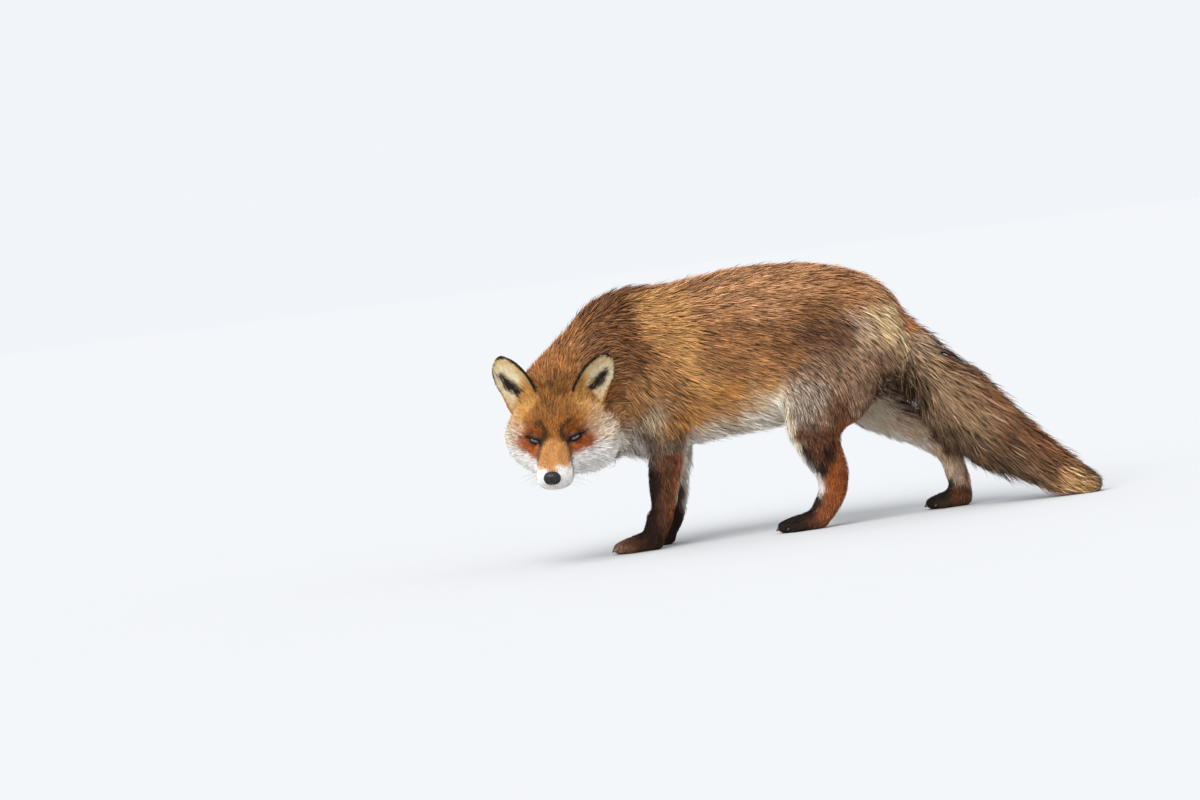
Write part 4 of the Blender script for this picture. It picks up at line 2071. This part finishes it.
# --- Fine parts of the head and feet --------------------------------------------------------
@dataclass
class Eye:
    """One eye: the ball with its iris, and the two lids drawn nearly shut over it.

    The lids are one sheet round the slit. Its rows go out from the slit's edge, which is a lens
    wider than high, to a larger ring that passes under the skin.
    """

    anatomy: Anatomy
    markings: Markings
    side: str
    slit_half: Span = (75.0, 9.2)
    ring_half: Span = (102.0, 86.0)
    rows: int = 26
    columns: int = 96
    clear: float = 0.00015
    lid_edge: Span = (0.0006, 0.0005)  # how far it stands up at the slit, and a little behind
    crease: float = 0.0005
    sink: float = 0.0010
    rim: Span = (0.14, 0.24)
    rim_colour: Colour = (0.006, 0.005, 0.005)
    hairs: int = 900
    hair_length: Span = (0.0018, 0.0030)
    hair_width: Span = (0.00028, 0.00044)
    hair_rise: float = 0.00045
    ball_grid: tuple[int, int] = (49, 64)
    iris_inner: Colour = (0.13, 0.115, 0.075)
    iris_outer: Colour = (0.085, 0.066, 0.040)
    iris_span: Span = (12.0, 34.0)
    ring: Colour = (0.014, 0.010, 0.008)
    ring_span: Span = (38.0, 46.0)
    pupil: Colour = (0.003, 0.003, 0.003)
    pupil_half: Span = (0.07, 0.34)

    def __post_init__(self) -> None:
        """Finds the way the eye looks, and the direction from its inner to its outer corner."""
        self.sign = SIDES[self.side]
        self.centre = self.anatomy.balls[self.sign]
        self.gaze, self.outer, self.up = self.anatomy.slit_axes(self.sign)

    def _direction(self, aside: Array, above: Array) -> Array:
        """Returns directions from the ball's middle.

        Args:
            aside: angles towards the outer corner.
            above: angles up.

        Returns:
            One direction for each pair.
        """
        return (
            (np.cos(above) * np.sin(aside))[..., None] * self.outer
            + np.sin(above)[..., None] * self.up
            + (np.cos(above) * np.cos(aside))[..., None] * self.gaze
        )

    def _lid_at(self, t: Array, turn: Array) -> Array:
        """Returns places on the lids.

        The sheet rolls up from the ball at the slit's edge, has a crease above, and comes back
        to the ball at its outer ring.

        Args:
            t: 0 at the slit's edge and 1 at the outer ring.
            turn: the turn round the slit, from the outer corner.

        Returns:
            One place for each pair.
        """
        wave, rise = np.cos(turn), np.sin(turn)
        lens = rise * np.abs(rise) ** 0.35
        lower = np.where(rise < 0, 0.85, 1.0)
        slit_a, slit_b = np.radians(self.slit_half)
        ring_a, ring_b = np.radians(self.ring_half)
        aside = (slit_a + (ring_a - slit_a) * t) * wave
        above = slit_b * lens * lower * (1 - t) + (slit_b * lens + (ring_b - slit_b) * rise) * t
        edge = self.lid_edge[0] * (1 - np.exp(-t / 0.012)) + self.lid_edge[1] * ease(0.0, 0.2, t)
        crease = -self.crease * bell(t, 0.38, 0.06) * (rise > 0)
        sink = -self.sink * ease(0.55, 1.0, t)
        radius = self.anatomy.ball_radius + self.clear + edge + crease + sink
        return self.centre + self._direction(aside, above) * radius[..., None]

    def _lid_traits(self, points: Array) -> Array:
        """Returns the coat's traits at places on the lids."""
        regions = np.full(len(points), Region.HEAD.number)
        return self.markings.at(points, unit(points - self.centre), regions)

    def lids(self) -> bpy.types.Object:
        """Makes the lids, with a black rim."""
        t = np.linspace(0, 1, self.rows)[:, None] ** 1.4 * np.ones(self.columns)
        grid = self._lid_at(t, turns(self.columns)[None, :] + 0 * t)
        if self.sign < 0:
            grid = grid[:, ::-1]
        lids = grid_object(f"eyelids_{self.side}", grid, LidFinish().material())
        traits = self._lid_traits(grid.reshape(-1, 3))
        tone = blend(traits[:, ROOT], traits[:, TIP], 0.55)
        rim = fall(*self.rim, t.reshape(-1))
        paint(lids, "markings", blend(tone, np.array(self.rim_colour), rim))
        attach(lids, "root")
        return lids

    def lid_fur(self, seed: int) -> bpy.types.Object:
        """Makes the lids' own short fur, which lies away from the slit and backwards.

        Args:
            seed: its own seed.

        Returns:
            The piece.
        """
        rng = np.random.default_rng(seed)
        t = rng.uniform(0.17, 0.92, self.hairs)
        turn = rng.uniform(0, 2 * math.pi, self.hairs)
        start = self._lid_at(t, turn)
        ahead = unit(self._lid_at(t + 0.03, turn) - start)
        out = unit(start - self.centre)
        traits = self._lid_traits(start)
        lie = 0.6 * ahead + traits[:, LIE] + 0.18 * rng.standard_normal(start.shape)
        lie = unit(square_to(out, lie))
        length = rng.uniform(*self.hair_length, self.hairs)[:, None]
        base = np.linalg.norm(start - self.centre, axis=1)[:, None]
        share = np.array(TUFT_STEPS)[:, None, None]
        moved = start + share * length * lie - self.centre
        centre = self.centre + unit(moved) * (base + self.hair_rise * share)
        side = np.cross(lie, out)[None].repeat(len(TUFT_STEPS), axis=0)
        colours = tuft_colours(traits, np.zeros(self.hairs), rng)
        width = rng.uniform(*self.hair_width, self.hairs)
        return Tufts(f"lid_fur_{self.side}", centre, side, width, colours, "coat", 0.0).build()

    def dress_ball(self, ball: bpy.types.Object) -> bpy.types.Object:
        """Makes the wet ball in place of the solid one: dull iris, dark ring and upright slit.

        Args:
            ball: the solid ball that it stands in for.

        Returns:
            The new ball.
        """
        way = sphere(*self.ball_grid) @ np.stack([self.gaze, self.outer, self.up])
        if self.sign > 0:
            way = way[:, ::-1]
        grid = self.centre + self.anatomy.ball_radius * way
        made = grid_object(f"eyeball_{self.side}", grid, EyeFinish().material())
        flat = unit(grid.reshape(-1, 3) - self.centre)
        aside, above, ahead = flat @ self.outer, flat @ self.up, flat @ self.gaze
        angle = np.degrees(np.arccos(np.clip(ahead, -1, 1)))
        inner, outer, ring = (np.array(c) for c in (self.iris_inner, self.iris_outer, self.ring))
        iris = blend(inner, outer, ease(*self.iris_span, angle))
        iris = blend(iris, ring, ease(*self.ring_span, angle))
        pupil = np.hypot(aside / self.pupil_half[0], above / self.pupil_half[1])
        slit = fall(0.6, 1.2, pupil) * (ahead > 0)
        paint(made, "iris", blend(iris, np.array(self.pupil), slit))
        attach(made, "root")
        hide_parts(ball.name)
        return made


@dataclass
class NosePad:
    """The bare nose: a rounded pad with two comma nostrils and a groove between them."""

    anatomy: Anatomy
    radii: Place = (0.0080, 0.0120, 0.0097)
    pitch: float = 8.0
    grid: tuple[int, int] = (72, 128)
    hole: float = 0.0042
    wing: float = 0.0026
    groove: float = 0.0012
    ridge: float = 0.0006

    def build(self) -> bpy.types.Object:
        """Makes the pad: a boxed ellipsoid, pressed in by bells at nostrils, wings and groove."""
        shape = sphere(*self.grid)
        boxed = shape * (np.abs(shape) ** 4).sum(-1, keepdims=True) ** -0.06
        local = boxed * self.radii
        front = np.clip(shape[..., 0], 0, 1)
        beside, height = np.abs(local[..., 1]), local[..., 2]
        hole = bell(beside, 0.0050, 0.0019) * bell(height, -0.0008, 0.0020)
        wing = bell(beside, 0.0088, 0.0024) * bell(height, -0.0030, 0.0012)
        groove = bell(beside, 0, 0.0007) * fall(-0.001, 0.004, height)
        local[..., 0] -= front**0.5 * (self.hole * hole + self.wing * wing + self.groove * groove)
        local[..., 2] += self.ridge * bell(beside, 0, 0.006) * (height > 0) * front
        lean = np.array(Matrix.Rotation(math.radians(self.pitch), 3, "Y"))
        grid = self.anatomy.from_head(local @ lean.T + self.anatomy.nose)
        pad = grid_object("nose_pad", grid, NoseFinish().material())
        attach(pad, "root")
        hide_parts("nose")
        return pad


def swept(
    name: str, paths: Array, radii: Array, finish: bpy.types.Material, sides: int = 6
) -> bpy.types.Object:
    """Makes round rods, one along each path, closed to a point at both ends.

    Args:
        name: the object's name.
        paths: points by rod and row.
        radii: the rod's radius at each row; 0 at the ends closes it.
        finish: its material.
        sides: the rod's sides.

    Returns:
        One object with all the rods.
    """
    count, rows = paths.shape[:2]
    way = unit(np.gradient(paths, axis=1))
    side = unit(np.cross(way, (0.31, 0.22, 0.93)))
    over = np.cross(side, way)
    turn = turns(sides)[:, None]
    ring = np.cos(turn) * side[:, :, None] + np.sin(turn) * over[:, :, None]
    points = paths[:, :, None] + ring * radii[..., None, None]
    quads = grid_quads(rows, sides)[:, (0, 3, 2, 1)]
    loops = (np.arange(count)[:, None, None] * rows * sides + quads).ravel()
    return new_object(name, points.reshape(-1, 3), loops, np.full(count * len(quads), 4), finish)


@dataclass
class Whiskers:
    """Stiff dark hairs in two rows on each side of the muzzle, bowed back and down."""

    anatomy: Anatomy
    per_row: int = 4
    thickness: float = 0.00014
    first: Place = (0.064, 0.0155, -0.027)
    last: Place = (0.040, 0.0245, -0.027)
    row_drop: float = 0.006
    lengths: Span = (0.024, 0.046)
    droop: Place = (-0.30, 0.0, -0.28)

    def build(self) -> bpy.types.Object:
        """Makes both sides: each whisker starts at its row's place and bends by its square."""
        rng = np.random.default_rng(5)
        share = np.linspace(0, 1, 12)[:, None]
        first, last = np.array(self.first), np.array(self.last)
        paths = []
        for side, row, number in np.ndindex(2, 2, self.per_row):
            t = number / (self.per_row - 1)
            flip = (1, 1 - 2 * side, 1)
            start = (first + (last - first) * t - (0, 0, self.row_drop * row)) * flip
            length = (self.lengths[0] + (self.lengths[1] - self.lengths[0]) * t) * rng.uniform(0.7, 1.2)
            out = np.array((-0.25 - 0.55 * t, 1, -0.35 - 0.30 * row)) * flip
            out = unit(out + rng.normal(0, 0.12, 3))
            paths.append(start + length * (share * out + share**2 * self.droop))
        paths = self.anatomy.from_head(np.array(paths))
        radii = self.thickness * (1.02 - share[:, 0]) ** 0.7
        radii[0] = 0.0
        finish = HornFinish("whisker", (0.020, 0.015, 0.012), (0.06, 0.045, 0.035)).material()
        made = swept("whiskers", paths, np.tile(radii, (len(paths), 1)), finish)
        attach(made, "root")
        return made


@dataclass
class Claws:
    """Four blunt curved claws on each paw."""

    anatomy: Anatomy
    heels_and_toes: tuple[Place, ...] = (
        (0.036, -0.036, -0.043),
        (0.054, -0.018, 0.043),
        (0.268, 0.196, -0.050),
        (0.478, 0.412, 0.050),
    )
    toes: tuple[Span, ...] = ((0.86, 0.0070), (0.66, 0.0180))
    ahead: float = 0.0085
    height: float = 0.0068
    length: float = 0.0046
    radius: float = 0.0016

    def build(self) -> bpy.types.Object:
        """Makes the claws: each leaves its toe level and curves down to just above the floor."""
        share = np.linspace(0, 1, 10)[:, None]
        paths = []
        for heel, toe, y in self.heels_and_toes:
            for reach, offset in self.toes:
                for side in (-1, 1):
                    x = heel - reach * (heel - toe) - self.ahead
                    start = np.array((x, y + side * offset, self.height))
                    out = np.array((-1.0, 0.10 * side, -0.05)) * self.length
                    bend = np.array((0.05, 0.0, -0.60)) * self.length
                    paths.append(start + share * out + share**2 * bend)
        radii = self.radius * np.sqrt(np.clip(1 - share[:, 0] ** 1.8, 0, 1))
        radii[0] = 0.0
        finish = HornFinish("claw", (0.030, 0.024, 0.020), (0.11, 0.085, 0.07), 0.35).material()
        paths = self.anatomy.from_body(np.array(paths))
        made = swept("claws", paths, np.tile(radii, (len(paths), 1)), finish, 10)
        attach(made, "root")
        return made


# --- The room -------------------------------------------------------------------------------
@dataclass
class Studio:
    """A plain pale floor, soft light all round, one wide soft sun in front, and the camera."""

    anatomy: Anatomy
    floor_half: float = 30.0
    floor_below: float = 0.0002
    sky: Colour = (0.93, 0.96, 1.0)
    sky_strength: float = 0.95
    sun: Colour = (1.0, 0.985, 0.96)
    sun_way: Place = (-0.40, -0.80, 0.80)
    sun_strength: float = 3.3
    sun_width: float = 50.0
    aim: Place = (-0.0283, 0.0, 0.2168)
    distance: float = 8.0
    lens: float = 170.4
    level: float = 2.0
    roll: float = 7.5

    def build(self) -> None:
        """Makes the floor, the sky, the sun and the camera."""
        self._floor()
        self._sky()
        self._sun()
        self._camera()
        bpy.context.scene.view_settings.view_transform = "Standard"

    def _floor(self) -> None:
        """Makes the floor, a wide square at the part's lowest level."""
        half, level = self.floor_half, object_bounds()[0].z - self.floor_below
        points = [(x * half, y * half, level) for x, y in ((-1, -1), (1, -1), (1, 1), (-1, 1))]
        finish = FloorFinish().material()
        floor = new_object("floor", np.array(points), np.arange(4), np.array((4,)), finish)
        floor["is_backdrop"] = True

    def _sky(self) -> None:
        """Makes an even, soft light from all round."""
        world = bpy.data.worlds.new("soft_sky")
        world.use_nodes = True
        sky = world.node_tree.nodes["Background"]
        sky.inputs["Color"].default_value = (*self.sky, 1)
        sky.inputs["Strength"].default_value = self.sky_strength
        bpy.context.scene.world = world

    def _sun(self) -> None:
        """Makes a wide, soft sun."""
        data = bpy.data.lights.new("sun_above", "SUN")
        data.energy = self.sun_strength
        data.angle = math.radians(self.sun_width)
        data.color = self.sun
        lamp = bpy.data.objects.new("sun_above", data)
        bpy.context.scene.collection.objects.link(lamp)
        lamp.matrix_world = Vector(self.sun_way).to_track_quat("Z", "Y").to_matrix().to_4x4()
        lamp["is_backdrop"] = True

    def _camera(self) -> None:
        """Makes the camera: nearly level, far off, and turned a little about its own axis."""
        roll = math.radians(self.roll)
        right = Vector((math.cos(roll), 0, -math.sin(roll)))
        up = Vector((math.sin(roll), 0, math.cos(roll)))
        dip = Matrix.Rotation(-math.radians(self.level), 3, right)
        ahead, up = dip @ Vector((0, 1, 0)), dip @ up
        data = bpy.data.cameras.new("camera")
        data.lens = self.lens
        data.sensor_width = 36
        data.clip_end = 100
        camera = bpy.data.objects.new("camera", data)
        bpy.context.scene.collection.objects.link(camera)
        place = Vector(self.anatomy.from_body(np.array(self.aim))) - self.distance * ahead
        turn = Matrix((right, up, -ahead)).transposed().to_4x4()
        camera.matrix_world = Matrix.Translation(place) @ turn
        bpy.context.scene.camera = camera


# --- All together ---------------------------------------------------------------------------
def report(piece: bpy.types.Object) -> None:
    """Logs a piece's name and size."""
    mesh = piece.data
    LOG.info("%s: %d vertices, %d faces", piece.name, len(mesh.vertices), len(mesh.polygons))


def main() -> None:
    """Builds the fox piece by piece."""
    logging.basicConfig(level=logging.INFO, format="%(message)s")
    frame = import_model()
    nodes = frame["nodes"]
    anatomy = Anatomy()
    guides = GuideSet(anatomy)
    ears = {
        Region.EAR_LEFT: EarFrame(1, 8.0, 26.0, 10.0),
        Region.EAR_RIGHT: EarFrame(-1, 20.0, 21.0, -2.0),
    }
    markings = Markings(anatomy, guides, ears)
    body = Body(nodes, anatomy, guides, ears)
    LOG.info("skin found: %d points", len(body.points))
    apart = ("nose", "eye_left", "eye_right")
    skin = Skin(body, markings)
    report(skin.build([name for name in nodes if name not in apart]))
    coat = Coat(body, skin, anatomy)
    for number, fleece in enumerate(FLEECES):
        report(coat.grow(fleece, 100 + number))
    for side in SIDES:
        eye = Eye(anatomy, markings, side)
        report(eye.lids())
        report(eye.lid_fur(40 + eye.sign))
        report(eye.dress_ball(nodes[f"eye_{side}"]))
    report(NosePad(anatomy).build())
    report(Whiskers(anatomy).build())
    report(Claws(anatomy).build())
    Studio(anatomy).build()


if __name__ == "__main__":
    main()
